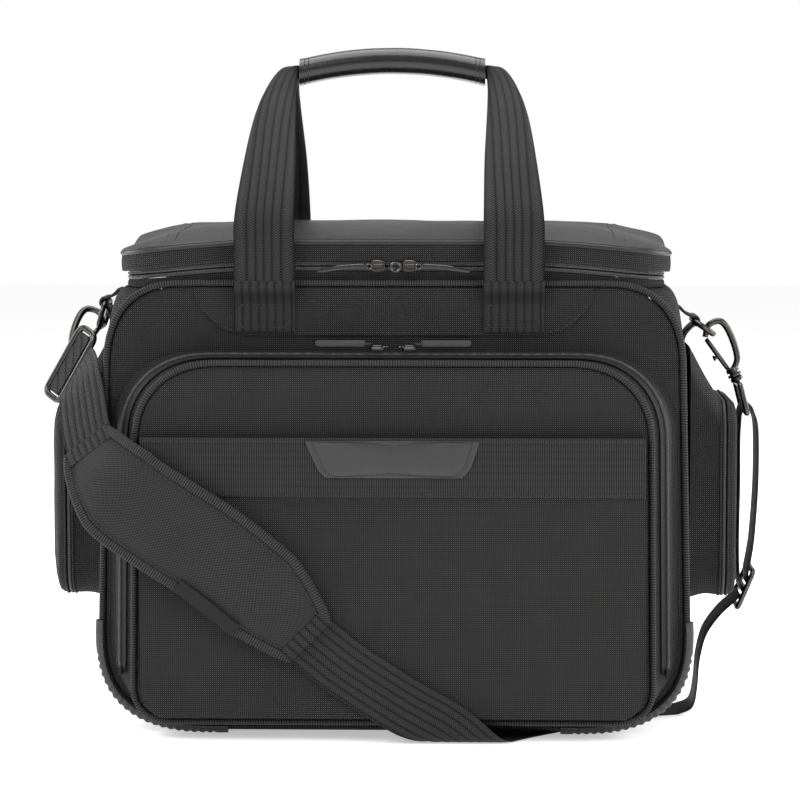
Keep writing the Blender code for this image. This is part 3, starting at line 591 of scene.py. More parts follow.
# name, place, size, power
LAMPS = (("key", (-1.3, -1.6, 1.7), 1.1, 30.0), ("fill", (1.5, -1.4, 1.2), 1.3, 20.0),
         ("top", (0.0, 0.2, 1.9), 1.6, 34.0), ("left_edge", (-1.6, 0.5, 0.7), 0.9, 16.0),
         ("right_edge", (1.6, 0.5, 0.7), 0.9, 16.0))


def stage():
    scene = bpy.context.scene
    camera = bpy.data.objects.new("camera", bpy.data.cameras.new("camera"))
    scene.collection.objects.link(camera)
    scene.camera = camera
    azimuth, elevation = math.radians(CAMERA_AZIMUTH), math.radians(CAMERA_ELEVATION)
    flat = math.cos(elevation)
    back = Vector((math.sin(azimuth) * flat, -math.cos(azimuth) * flat, math.sin(elevation)))
    camera.location = Vector(CAMERA_TARGET) + back * CAMERA_DISTANCE
    camera.rotation_euler = (-back).to_track_quat("-Z", "Y").to_euler()
    camera.data.lens = CAMERA_LENS
    camera.data.sensor_width = 36.0
    camera.data.clip_start = 0.05
    floor_mesh = bpy.data.meshes.new("floor")
    corners = [(FLOOR_HALF * a, FLOOR_HALF * b, 0.0) for a, b in ((-1, -1), (1, -1), (1, 1), (-1, 1))]
    floor_mesh.from_pydata(corners, [], [(0, 1, 2, 3)])
    floor = bpy.data.objects.new("floor", floor_mesh)
    scene.collection.objects.link(floor)
    pale = Shade("m_floor", 0.9, specular=0.1)
    pale.colour(pale.noise(3.0), grey(0.93), grey(0.95), 0.005)
    pale.shader.inputs["Emission Color"].default_value = (1.0, 1.0, 1.0, 1.0)
    pale.shader.inputs["Emission Strength"].default_value = FLOOR_GLOW
    floor_mesh.materials.append(pale.mat)
    world = bpy.data.worlds.new("studio")
    scene.world = world
    world.use_nodes = True
    sky = world.node_tree.nodes["Background"]
    sky.inputs[0].default_value = (1.0, 1.0, 1.0, 1.0)
    seen = world.node_tree.nodes.new("ShaderNodeLightPath")
    level = world.node_tree.nodes.new("ShaderNodeMapRange")
    level.inputs["To Min"].default_value = WORLD_LIGHT
    level.inputs["To Max"].default_value = 1.0
    world.node_tree.links.new(seen.outputs["Is Camera Ray"], level.inputs["Value"])
    world.node_tree.links.new(level.outputs[0], sky.inputs[1])
    scene.view_settings.view_transform = "Standard"
    for name, place, size, power in LAMPS:
        lamp = bpy.data.lights.new(name, "AREA")
        lamp.size = size
        lamp.energy = power
        light = bpy.data.objects.new(name, lamp)
        light.location = place
        aim = Vector((0.0, 0.0, 0.2)) - Vector(place)
        light.rotation_euler = aim.to_track_quat("-Z", "Y").to_euler()
        scene.collection.objects.link(light)


stage()


# ---------------------------------------------------------------- strap

HANG_ROUTE = (
    (-212.6, -56.5, 240.8), (-209.9, -65.2, 238.6), (-207.5, -75.5, 226.0), (-199.5, -92.0, 195.0),
    (-178.0, -112.5, 167.0), (-148.0, -117.6, 146.0), (-120.0, -117.4, 128.0), (-86.0, -116.6, 101.0),
    (-55.0, -115.4, 70.6))
HANG_ACROSS = (
    (0.50, 0.0, 0.86), (0.56, -0.06, 0.82), (0.68, -0.20, 0.66), (0.72, -0.22, 0.62), (0.64, -0.10, 0.76),
    (0.58, 0.0, 0.81), (0.60, 0.0, 0.80), (0.64, 0.0, 0.77), (0.64, 0.0, 0.77))
WRAP_ROUTE = (
    (-46.0, -51.0), (-28.0, -37.0), (6.0, -15.0), (34.0, 1.0), (50.0, 14.0), (62.0, 26.0),
    (76.0, 42.0), (96.0, 62.0), (122.0, 88.0), (146.0, 110.0), (168.0, 124.0), (186.0, 131.0))
RING_CENTRE = (-218.5, -46.0, 245.0)
RING_LONG_WAY = (-25.4, 0.0, -44.7)
RING_SHORT_WAY = (0.62, -0.62, -0.36)
WRAP_Y = -114.2
WRAP_FOLD_Z = 11.75
WRAP_FOLD_R = 10.7
RISE_ROUTE = (
    (194.0, 12.0, 1.2), (203.4, 12.0, 6.0), (206.5, 12.0, 20.0), (208.0, 12.0, 38.0),
    (212.5, 12.0, 56.0), (222.0, 12.0, 70.0), (231.0, 12.0, 78.6), (236.2, 12.0, 83.6))
LOOP_ROUTE = ((240.6, 85.4), (238.0, 85.6), (235.9, 90.0), (234.6, 104.0), (234.2, 124.0), (234.6, 160.0),
              (234.4, 190.0), (234.9, 202.0), (235.5, 209.0), (237.5, 213.6), (241.5, 213.9),
              (243.9, 209.5), (246.8, 197.0), (247.0, 160.0), (244.8, 124.0), (242.6, 108.0), (240.9, 98.0),
              (241.6, 90.0))


def wrap_point(right, down):
    """Place a point of the flattened front and base on the fold: down the front, round, and under."""
    quarter = WRAP_FOLD_R * math.pi / 2.0
    if down < 0.0:
        return Vector((right, WRAP_Y, WRAP_FOLD_Z - down))
    centre_y = WRAP_Y + WRAP_FOLD_R
    if down < quarter:
        angle = down / WRAP_FOLD_R
        return Vector((right, centre_y - WRAP_FOLD_R * math.cos(angle),
                       WRAP_FOLD_Z - WRAP_FOLD_R * math.sin(angle)))
    return Vector((right, centre_y + down - quarter, WRAP_FOLD_Z - WRAP_FOLD_R))


def strap_rows(per_span, shares):
    """Rows of points across the webbing, from the left ring to the adjuster on the right."""
    rows = []
    hang = smooth_path(HANG_ROUTE, per_span)
    ways = smooth_path(HANG_ACROSS, per_span)
    for i, point in enumerate(hang):
        tangent = (hang[min(i + 1, len(hang) - 1)] - hang[max(i - 1, 0)]).normalized()
        side = (ways[i] - ways[i].dot(tangent) * tangent).normalized() * STRAP_WIDTH
        rows.append([point + side * share for share in shares])
    wrap = smooth_path([(a, b, 0.0) for a, b in WRAP_ROUTE], per_span)
    for i, point in enumerate(wrap):
        tangent = wrap[min(i + 1, len(wrap) - 1)] - wrap[max(i - 1, 0)]
        side = Vector((tangent.y, -tangent.x)).normalized() * STRAP_WIDTH
        rows.append([wrap_point(point.x + side.x * share, point.y + side.y * share) for share in shares])
    for point in smooth_path(RISE_ROUTE, per_span):
        rows.append([point + Vector((0.0, -STRAP_WIDTH * share, 0.0)) for share in shares])
    return rows


def band_rows(rows, thick, crown=0.0):
    """Give rows of surface points a thickness, half to each side."""
    rings = []
    last = len(rows) - 1
    for i, row in enumerate(rows):
        upper, lower = [], []
        wide = len(row) - 1
        for k, point in enumerate(row):
            along = rows[min(i + 1, last)][k] - rows[max(i - 1, 0)][k]
            across = row[min(k + 1, wide)] - row[max(k - 1, 0)]
            normal = across.cross(along).normalized()
            edge = abs(2.0 * k / wide - 1.0)
            half = thick / 2.0 * (1.0 - 0.45 * edge ** 8) + crown * (1.0 - edge ** 2)
            upper.append(point + normal * half)
            lower.append(point - normal * thick / 2.0 * (1.0 - 0.45 * edge ** 8))
        rings.append(upper + list(reversed(lower)))
    return rings


def pad_frame(per_span):
    """Centre, across and outward directions along the shoulder pad, with its local width."""
    path = smooth_path(HANG_ROUTE, per_span)[3 * per_span:]
    ways = smooth_path(HANG_ACROSS, per_span)[3 * per_span:]
    made = []
    last = len(path) - 1
    for i, point in enumerate(path):
        tangent = (path[min(i + 1, last)] - path[max(i - 1, 0)]).normalized()
        share = i / last
        width = 37.0 + 27.0 * min(math.sin(math.pi * share) * 1.7, 1.0) ** 0.8
        side = (ways[i] - ways[i].dot(tangent) * tangent).normalized()
        out = side.cross(tangent).normalized()
        if out.y > 0.0:
            out = -out
        made.append((point, side, out, width, share))
    return made


def pad():
    pillow, edges, thread = [], ([], []), ([], [])
    for point, side, out, width, share in pad_frame(10):
        half = width / 2.0
        swell = min(math.sin(math.pi * min(max(share, 0.02), 0.98)) * 3.0, 1.0) ** 0.6
        ring = []
        for k in range(15):
            a = -1.0 + 2.0 * k / 14.0
            height = 3.4 + (3.7 * swell * (1.0 - abs(a) ** 3.2)) + wander(point + side * a * half, 24.0, 0.5)
            if abs(a) > 0.78:
                height -= 0.7 * (1.0 - abs(abs(a) - 0.89) / 0.11)
            ring.append(point + side * a * (half - 1.4) + out * height)
        ring += [point + side * a * (half - 1.4) + out * 1.75 for a in (1.0, 0.6, 0.0, -0.6, -1.0)]
        pillow.append(ring)
        for n, sign in enumerate((-1.0, 1.0)):
            edges[n].append(point + side * sign * (half - 1.6) + out * 3.4)
            thread[n].append(point + side * sign * (half - 6.2) + out * 4.9)
    piece = loft("strap_pad_cushion", pillow, "pad", nodes=("strap_pad",), uv="run")
    outward = (-0.1, -1.0, 0.15)
    many("strap_pad_binding", [ring_rows(edge, bar(3.6, 6.8, 1.2), hint=Vector(outward)) for edge in edges],
         "piping")
    stitches("strap_pad_stitching", [(line, outward) for line in thread])
    frames = pad_frame(10)
    tabs = []
    for index, ahead in ((0, 1), (-1, -2)):
        point, side, out, width, _ = frames[index]
        inner = frames[ahead][0]
        along = (inner - point).normalized()
        rows = []
        for step in (-3.0, -2.4, 4.0, 7.5, 8.2):
            lift = 5.6 if -2.5 < step < 8.0 else 4.6
            rows.append([point + along * step + side * a * (width / 2.0 + 0.6) + out * b for a,
                         b in ((-1.0, 1.9), (-1.0, lift - 0.6), (-0.9, lift), (0.0, lift + 0.2),
                               (0.9, lift), (1.0, lift - 0.6), (1.0, 1.9), (0.0, 1.8))])
        tabs.append(rows)
    seams = many("strap_pad_end_seams", tabs, "webbing")
    # blank side tag folded over the lower edge
    rows = []
    for point, side, out, width, _ in frames[-22:-9]:
        half = width / 2.0
        lower = -1.0 if side.z > 0.0 else 1.0
        edge = point + side * lower * half
        inward = side * -lower
        rows.append([edge + inward * 7.5 + out * 6.9, edge + inward * 3.0 + out * 6.7,
                     edge - inward * 0.6 + out * 6.0, edge - inward * 1.2 + out * 4.2,
                     edge - inward * 1.9 + out * 4.2, edge - inward * 1.5 + out * 6.6,
                     edge + inward * 3.0 + out * 7.5, edge + inward * 7.5 + out * 7.7])
    return [piece, seams, loft("strap_pad_blank_tag", rows, "label", uv="run")]


def wire_path(centre, across, drop, half_width, length, corner, steps=6):
    across = Vector(across).normalized()
    drop = Vector(drop).normalized()
    spots = plan(half_width, (-length / 2.0, length / 2.0), corner, 0.0, steps)
    line = [Vector(centre) + across * a + drop * b for a, b in spots]
    return line, across.cross(drop)


def wire_loop(name, wire, *shape, nodes=()):
    line, hint = wire_path(*shape)
    return tube(name, even(line, 1.6, True), disc(wire, 12), "nickel", nodes=nodes, closed=True, hint=hint)


def turned(start, end, profile, sides=14):
    """Rings of a turned piece from start to end: (share along, radius) pairs."""
    start, end = Vector(start), Vector(end)
    axis = (end - start).normalized()
    side = axis.orthogonal().normalized()
    up = axis.cross(side)
    return [[start.lerp(end, share) + side * a + up * b for a, b in disc(radius, sides)] for share,
            radius in profile]


HOOKS = {"right": (Vector((217.5, MID_Y, 270.0)), Vector((231.5, MID_Y, 236.0))),
         "left": (Vector((-209.8, 8.0, 278.2)), Vector((-219.0, -16.0, 250.0)))}


def snap_hook(hand):
    top, base = HOOKS[hand]
    along = (base - top).normalized()
    across = along.cross(DEPTH).normalized()
    if across.x * (1.0 if hand == "right" else -1.0) < 0.0:
        across = -across
    line = [base - across * 2.0, base - along * 8.0 + across * 5.6, top + along * 12.0 + across * 7.4,
            top + across * 4.6 + along * 1.0, top - across * 4.2 + along * 0.4,
            top + along * 7.0 - across * 9.2]
    path = even(smooth_path(line, 10), 1.4)
    total = len(path) * 1.4

    def section(walked):
        """Round wire that thins towards both ends."""
        return disc(2.3 * (0.80 + 0.2 * math.sin(math.pi * walked / total) ** 0.5), 12)

    parts = [ring_rows(path, section)]
    foot = Vector((234.3, MID_Y, 229.6)) if hand == "right" else base + along * 7.0
    parts.append(turned(base - along * 3.6 - across * 0.6, foot,
                        ((0.0, 2.6), (0.06, 4.2), (0.30, 4.6), (0.36, 3.0), (0.42, 3.0), (0.46, 4.9),
                         (0.60, 4.9), (0.64, 3.2), (0.74, 4.4), (0.94, 4.2), (1.0, 3.0)), 18))
    many("snap_hook_" + hand, parts, "nickel", nodes=("hook_body_" + hand,))
    gate_top = top + along * 8.4 - across * 9.2
    gate_foot = base - along * 3.4 - across * 3.0
    parts = [turned(gate_foot, gate_top, ((0.0, 1.1), (0.03, 1.6), (0.5, 1.75), (0.97, 1.6), (1.0, 1.2)))]
    middle = gate_foot.lerp(gate_top, 0.42)
    parts.append(turned(middle - across * 0.8, middle - across * 4.2,
                        ((0.0, 1.2), (0.5, 1.2), (0.6, 2.0), (1.0, 1.7)), 10))
    body_name, nodes = ("hook_gate_right", ("hook_gate_right",)) if hand == "right" else ("root", ())
    many("snap_gate_" + hand, parts, "nickel", body_name, nodes)


def strap():
    across = [k / 8.0 - 0.5 for k in range(9)]
    rows = strap_rows(8, across)
    webbing = loft("strap_webbing_main", band_rows(rows, 1.6), "webbing", nodes=("strap_webbing",), uv="run")
    for hand in HOOKS:
        snap_hook(hand)
    ring = wire_loop("strap_ring_plain", 2.2, RING_CENTRE, RING_LONG_WAY, RING_SHORT_WAY, 25.5, 17.0, 5.0,
                     nodes=("strap_ring_left",))
    triglide = wire_loop("adjuster_frame", 1.9, (239.0, MID_Y, 88.0), (0.0, 1.0, 0.0), (11.5, 0.0, 27.3),
                         22.5, 27.0, 4.0, nodes=("strap_triglide",))
    long_way, short_way = Vector(RING_LONG_WAY).normalized(), Vector(RING_SHORT_WAY).normalized()
    section = ((-5.2, -1.6), (5.2, -1.6), (6.0, 0.0), (5.2, 1.6), (-5.2, 1.6), (-6.0, 0.0))
    turns = [[Vector(RING_CENTRE) + long_way * a * 22.2 + short_way * b + long_way.cross(short_way) * c
              for b, c in section] for a in (-1.0, -0.97, -0.5, 0.0, 0.5, 0.97, 1.0)]
    sleeve = loft("strap_ring_sleeve", turns, "webbing")
    bar_line = [Vector((239.0, MID_Y + s * 22.0, 88.0)) for s in (-1.0, -0.5, 0.0, 0.5, 1.0)]
    cross_bar = tube("adjuster_bar", bar_line, disc(1.5, 10), "nickel", hint=UP)
    wire_loop("swivel_eye", 1.9, (236.5, MID_Y, 219.0), (0.0, 1.0, 0.0), (7.0, 0.0, -28.0), 23.5, 20.0, 3.0,
                    nodes=("swivel_eye_right",))
    pads = pad()
    route = smooth_path([(x, MID_Y, z) for x, z in LOOP_ROUTE], 5)
    rows = [[p + DEPTH * STRAP_WIDTH * share for share in across] for p in route]
    looped = loft("strap_loop_main", band_rows(rows, 1.6), "webbing", nodes=("strap_loop_webbing",), uv="run")
    line = [Vector((245.6, MID_Y - 17.0, 128.0)), Vector((245.6, MID_Y + 17.0, 128.0))]
    stitches("strap_loop_stitching", [(line, (1.0, 0.0, 0.0))])


strap()


# ---------------------------------------------------------------- body

def plate(name, line_at, stages, y_out, y_in, mat, node, lift=None, body="root", step=9.0):
    """Domed cloth plate inside an outline. Stages are (inset, set back) and then shrink to the middle."""
    counts = split_counts(line_at(0.0), step)
    out = -1.0 if y_out < y_in else 1.0
    rings = []
    for inset, back in stages:
        rings.append(upright(dense(line_at(inset), counts), y_out - out * back))
    core = rings[-1]
    middle = sum(core, Vector()) / len(core)
    for share in (0.93, 0.85, 0.76, 0.66, 0.55, 0.44, 0.33, 0.22, 0.11, 0.03):
        rings.append([middle + (p - middle) * share for p in core])
    for ring in rings:
        for p in ring:
            p.y += out * (lift(p) if lift else 0.0)
    rim = [Vector((p.x, y_in, p.z)) for p in rings[0]]
    rings.insert(0, rim)
    centre = Vector((middle.x, y_in, middle.z))
    rings.insert(0, [centre + (p - centre) * 0.03 for p in rim])
    return loft(name, rings, mat, body, (node,))


def collar_x(y):
    """Half width of the collar's plan at a given depth."""
    reach = 0.0
    if y < COLLAR_Y[0] + COLLAR_CORNER:
        reach = COLLAR_Y[0] + COLLAR_CORNER - y
    elif y > COLLAR_Y[1] - COLLAR_CORNER:
        reach = y - (COLLAR_Y[1] - COLLAR_CORNER)
    return COLLAR_HALF_X - COLLAR_CORNER + math.sqrt(max(COLLAR_CORNER ** 2 - reach ** 2, 0.0))


def gusset_line(y, inset):
    """Front-view line of the gusset at one depth, from the right collar edge round the foot."""
    depth = (y - GUSSET_Y[0]) / (GUSSET_Y[1] - GUSSET_Y[0])
    swell = math.sin(math.pi * clamp(depth)) ** 0.6
    half_top = BODY_HALF[1] + 1.0 - inset
    start = collar_x(y) - inset
    drop = 56.0 - 24.0 * swell
    right = arc((start, GUSSET_TOP_Z - drop), (half_top - start, drop), 2.4, 0.0, 14)
    right.reverse()
    half_low = BODY_HALF[0] + 1.0 - inset
    foot = (BODY_FOOT_CORNER[0] - inset, BODY_FOOT_CORNER[1] - inset)
    low = arc((half_low - foot[0], BODY_Z[0] + inset + foot[1]), foot, BODY_FOOT_CORNER[2], -math.pi / 2.0,
              14)
    low.reverse()
    side = [(right[-1][0] + (low[0][0] - right[-1][0]) * k / 16.0,
             right[-1][1] + (low[0][1] - right[-1][1]) * k / 16.0) for k in range(1, 16)]
    right += side + low
    return right + [(-x, z) for x, z in reversed(right)]


def body():
    edge_stages = ((0.0, 1.6), (1.2, 0.5), (3.0, 0.0), (7.0, 0.1), (14.0, 0.0), (26.0, 0.0), (40.0, 0.0))

    def panel_line(inset):
        return body_outline(PIPING_R + 0.35 + inset)

    def soft(p):
        return wander(p, 60.0, 0.22, 3.0)

    plate("front_panel_cloth", panel_line, edge_stages, FRONT_Y, FRONT_Y + 3.0, "nylon", "front_panel", soft)
    plate("back_panel_cloth", panel_line, edge_stages, BACK_Y, BACK_Y - 3.0, "nylon", "back_panel", soft)
    rows = 25
    depths = [GUSSET_Y[0] + (GUSSET_Y[1] - GUSSET_Y[0]) * k / (rows - 1) for k in range(rows)]
    outer = [gusset_line(y, 0.0) for y in depths]
    inner = [gusset_line(y, GUSSET_WALL) for y in depths]
    rings = []
    for i in range(len(outer[0])):
        ring = []
        for k in range(rows):
            x, z = outer[k][i]
            hold = math.sin(math.pi * k / (rows - 1)) ** 0.7
            push = hold * wander((x, depths[k], z), 42.0, 1.5, 7.0) if z > 20.0 else 0.0
            ring.append(Vector((x + math.copysign(push, x), depths[k], z)))
        ring += [Vector((inner[k][i][0], depths[k], inner[k][i][1])) for k in reversed(range(rows))]
        rings.append(ring)
    loft("side_gusset_cloth", rings, "nylon", nodes=("side_gusset",))
    edge = divided(body_outline(0.0), 6.0)
    for side, y in (("front", FRONT_Y + 1.0), ("back", BACK_Y - 1.0)):
        path = upright(edge, y)
        out = -1.0 if side == "front" else 1.0
        tube(side + "_piping_cord", path, disc(PIPING_R, 12), "piping", nodes=(side + "_piping",),
             closed=True)
        seam = body_outline(5.2)
        seam_y = FRONT_Y - 0.1 if side == "front" else BACK_Y + 0.1
        line = upright(divided(seam, 6.0), seam_y)
        stitches(side + "_panel_stitching", [(line, (0.0, out, 0.0))], radius=0.22, closed=True)
        guards(side, y)
    yoke()
    lining()
    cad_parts["base_board"].material_slots[0].material = MATS["board"]


def guards(side, y):
    """Moulded rope-ribbed guard round each foot corner, smooth where it grips the piping's ends."""
    foot = outline(*BODY_Z, *BODY_HALF, BODY_FOOT_CORNER, BODY_TOP_CORNER, 0.0, 30)[:31]
    line = [(111.0, BODY_Z[0])] + foot + [(BODY_HALF[0] - 0.3, 76.0)]
    sweep_angle = math.radians(100.0)
    steps = 16
    for hand, sign in (("right", 1.0), ("left", -1.0)):
        path = even([(sign * x, y, z) for x, z in line], 0.9)
        total = 0.9 * len(path)

        def section(walked):
            near_top = clamp((total - 22.0 - walked) / 2.5)
            near_foot = clamp((walked - 7.0) / 2.5)
            ribbed = near_top * near_foot
            points = []
            for radius, order in ((4.6, 1), (2.6, -1)):
                for k in range(steps + 1):
                    angle = order * (-sweep_angle + 2.0 * sweep_angle * k / steps)
                    size = radius
                    if order == 1:
                        twist = math.sin(2.0 * math.pi * walked / 5.2 + 1.6 * angle)
                        size -= ribbed * 0.95 * (0.5 - 0.5 * math.copysign(abs(twist) ** 0.7, twist))
                        size -= (1.0 - ribbed) * 0.15
                    points.append((size * math.sin(angle), -sign * size * math.cos(angle)))
            return points

        node = "corner_guard_%s_%s" % (side, hand)
        tube(node + "_ribbed", path, section, "guard", nodes=(node,), sharp=50.0)


def yoke():
    """Second layer of cloth behind the handle feet, its turned edge curving up at both ends."""
    base_z, top_z = 266.0, 298.2
    half_base, half_top = 104.0, 132.0
    ends = ((-half_top, top_z), (-half_top + 2.0, 288.0), (-half_base - 12.0, 272.0),
            (-half_base + 4.0, base_z))
    lower = [(p.x, p.y) for p in smooth_path([(x, z, 0.0) for x, z in ends], 6)]
    lower += [(x, base_z) for x in (-60.0, -20.0, 20.0, 60.0)]
    lower += [(-x, z) for x, z in reversed(lower[:19])]
    rows = []
    for share in (0.0, 0.02, 0.06, 0.2, 0.5, 0.8, 1.0):
        rows.append([Vector((x, 0.0, z + (top_z - z) * share)) for x, z in lower])
    front, back = [], []
    for n, row in enumerate(rows):
        thick = (0.25, 0.9, 1.0, 0.75, 0.7, 0.7, 0.7)[n]
        front.append([Vector((p.x, FRONT_Y - 0.12 - thick, p.z)) for p in row])
        back.append([Vector((p.x, FRONT_Y - 0.12, p.z)) for p in row])
    rings = [f + list(reversed(b)) for f, b in zip(front, back)]
    loft("front_yoke", rings, "nylon")
    seam = [Vector((x, FRONT_Y - 1.0, z + 2.2)) for x, z in lower[2:-2]]
    stitches("front_yoke_stitching", [(seam, OUT)], radius=0.26)


def half_at(z, inset):
    """Half width of the body's outline at a height."""
    right = [(x, h) for x, h in body_outline(inset, 20) if x > 0.0]
    for (x0, z0), (x1, z1) in zip(right, right[1:]):
        if z0 <= z <= z1:
            return x0 + (x1 - x0) * (z - z0) / max(z1 - z0, 1e-6)
    return right[0][0]


def lining():
    """Loose cloth liner: an open bag inside the body with a turned rim."""
    low_z, rim_z = 12.5, 292.0
    y_range = (-69.5, 97.0)
    rows = []
    heights = [low_z + (rim_z - low_z) * (k / 20.0) ** 1.3 for k in range(21)]

    def ring(z, inset, fill):
        half = half_at(z, 7.0 + inset)
        line = plan(half * fill, (12.0 + (y_range[0] + inset - 12.0) * fill,
                                  12.0 + (y_range[1] - inset - 12.0) * fill), 10.0 * fill + 1.0, 0.0, 3)
        counts = split_counts(plan(half_at(150.0, 7.0), y_range, 11.0, 0.0, 3), 26.0)
        return [Vector((p.x, p.y, z)) for p in dense(line, counts)]

    for fill in (0.05, 0.5, 0.9):
        rows.append(ring(low_z, 0.0, fill))
    rows += [ring(z, 0.0, 1.0) for z in heights]
    inside = [ring(z, 1.4, 1.0) for z in reversed(heights)]
    for row in inside[1:]:
        for p in row:
            p += Vector((wander(p, 45.0, 1.2, 1.0) * -math.copysign(1.0, p.x), 0.0,
                         0.0)) - DEPTH * math.copysign(0.6 + wander(p, 45.0, 1.0, 5.0), p.y - 12.0)
    rows += inside
    for fill in (0.9, 0.5, 0.05):
        rows.append(ring(low_z + 1.4, 1.4, fill))
    loft("compartment_liner_cloth", rows, "lining", nodes=("compartment_lining",))


body()


# ---------------------------------------------------------------- collar, main zip and lid

def wall_rows(half_x, y_range, radius, heights, thick, swell=0.0):
    outer = plan(half_x, y_range, radius)
    counts = split_counts(outer, 12.0)
    rows = []
    for n, z in enumerate(heights):
        share = n / (len(heights) - 1)
        grow = swell * math.sin(math.pi * share)
        rows.append([Vector((p.x * (1.0 + grow / half_x), p.y + math.copysign(grow, p.y - 13.0), z))
                     for p in dense(outer, counts)])
    rows += [[Vector((p.x, p.y, z)) for p in dense(plan(half_x, y_range, radius, thick), counts)]
             for z in reversed(heights)]
    return rows


def zip_path(z):
    line = plan(COLLAR_HALF_X - 1.0, COLLAR_Y, COLLAR_CORNER)
    side_end = COLLAR_Y[1] - COLLAR_CORNER
    right = [p for p in line if p[0] > 0.0 and p[1] <= side_end + 0.01]
    path = [(right[-1][0], side_end)] + list(reversed(right[:-1])) + [(-x, y) for x, y in right]
    return even([(x, y, z) for x, y in path], 0.42)


def coil_section(width, height, pitch, toward):
    """Zip strip: a flat tape with a row of coil turns along one edge."""
    def section(walked):
        turn = 0.5 + 0.5 * math.cos(2.0 * math.pi * walked / pitch)
        w = width / 2.0
        h = height / 2.0
        tooth = 0.9 * turn
        t = toward
        return [(-w * t, -h * 0.7), (-0.1 * w * t, -h * 0.7), (0.0, -h - 0.15 - tooth * 0.5),
                (w * t * 0.75, -h - tooth * 0.4), (w * t, -h * 0.5), (w * t, h * 0.5), (w * t * 0.75, h),
                (-w * t, h * 0.7)]
    return section


def collar_and_lid():
    loft("collar_cloth", wall_rows(COLLAR_HALF_X, COLLAR_Y, COLLAR_CORNER,
                                   (297.5, 300.0, 303.0, 306.0, 309.0), WALL, 0.5), "nylon",
         nodes=("collar",), loop=True, uv="box")
    for name, node, z, toward, body_name in (
            ("main_zip_body_run", "main_zipper_body_side", sum(ZIP_Z[:2]) / 2.0, 1.0, "root"),
            ("main_zip_lid_run", "main_zipper_lid_side", sum(ZIP_Z[2:]) / 2.0, -1.0, "lid")):
        tube(name, zip_path(z), coil_section(2.6, 2.0, 1.6, toward), "coil", body_name, (node,), hint=UP,
             sharp=50.0)
    heights = (315.5, 316.5, 318.5, 321.0, 323.5, 326.0, 327.0)
    loft("lid_band_cloth", wall_rows(LID_HALF_X, LID_Y, LID_CORNER, heights, WALL, 0.7), "nylon", "lid",
         ("lid_side_band",), loop=True)
    for name, z, inset, size, mat in (("lid_welt", 327.6, 0.4, 1.9, "lid"),
                                      ("lid_low_binding", 316.2, 0.5, 1.0, "piping")):
        line = plan(LID_HALF_X, LID_Y, LID_CORNER, inset)
        path = [Vector((p.x, p.y, z)) for p in divided(line, 8.0)]
        tube(name, path, disc(size, 10), mat, "lid", closed=True, hint=UP)
    lid_top()
    lid_board()
    hinge = []
    stages = ((99.0, 300.0), (99.6, 306.0), (99.7, 309.5), (99.9, 311.5), (100.1, 313.5), (100.3, 317.0),
              (100.4, 323.0))
    route = smooth_path([(0.0, y, z) for y, z in stages], 3)
    for p in route:
        hinge.append([Vector((x, p.y + lift, p.z)) for lift, order in ((0.45, 1), (-0.45, -1))
                      for x in [order * k * 120.0 / 4.0 for k in range(-4, 5)]])
    piece = loft("lid_hinge_tape", hinge, "hem", None, nodes=("lid_hinge_strip",), uv="run")
    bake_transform(piece)


def lid_board():
    """Stiffener under the leather, bent down at its ends with the rest of the lid."""
    line = plan(LID_HALF_X - 7.0, (LID_Y[0] + 7.0, LID_Y[1] - 7.0), LID_CORNER - 7.0)
    line = divided(line, 12.0)
    mid_y = sum(LID_Y) / 2.0
    shares = (0.04, 0.4, 0.75, 1.0)
    levels = [(share, LID_BOARD_Z[0]) for share in shares] + [(share, LID_BOARD_Z[1])
                                                              for share in reversed(shares)]
    rows = [[Vector((p.x * share, mid_y + (p.y - mid_y) * share, z)) for p in line] for share, z in levels]
    loft("lid_board", rows, "board", "lid", ("lid_stiffener",))


def edge_distance(x, y):
    """Distance in from the lid's rounded plan."""
    mid_y = (LID_Y[0] + LID_Y[1]) / 2.0
    half_y = (LID_Y[1] - LID_Y[0]) / 2.0
    qx = abs(x) - (LID_HALF_X - LID_CORNER)
    qy = abs(y - mid_y) - (half_y - LID_CORNER)
    outside = math.hypot(max(qx, 0.0), max(qy, 0.0))
    return LID_CORNER - outside - min(max(qx, qy), 0.0)


def lid_shape(x, y):
    """Crown, hold-down share at the edge, and soft dents of the lid's leather."""
    inset = max(edge_distance(x, y), 0.0)
    crown = LID_CROWN * math.sin(math.pi / 2.0 * min(inset / 62.0, 1.0)) ** 0.85
    return crown, min(inset / 22.0, 1.0), wander((x * 0.7, y, 0.0), 46.0, 1.5, 2.0)


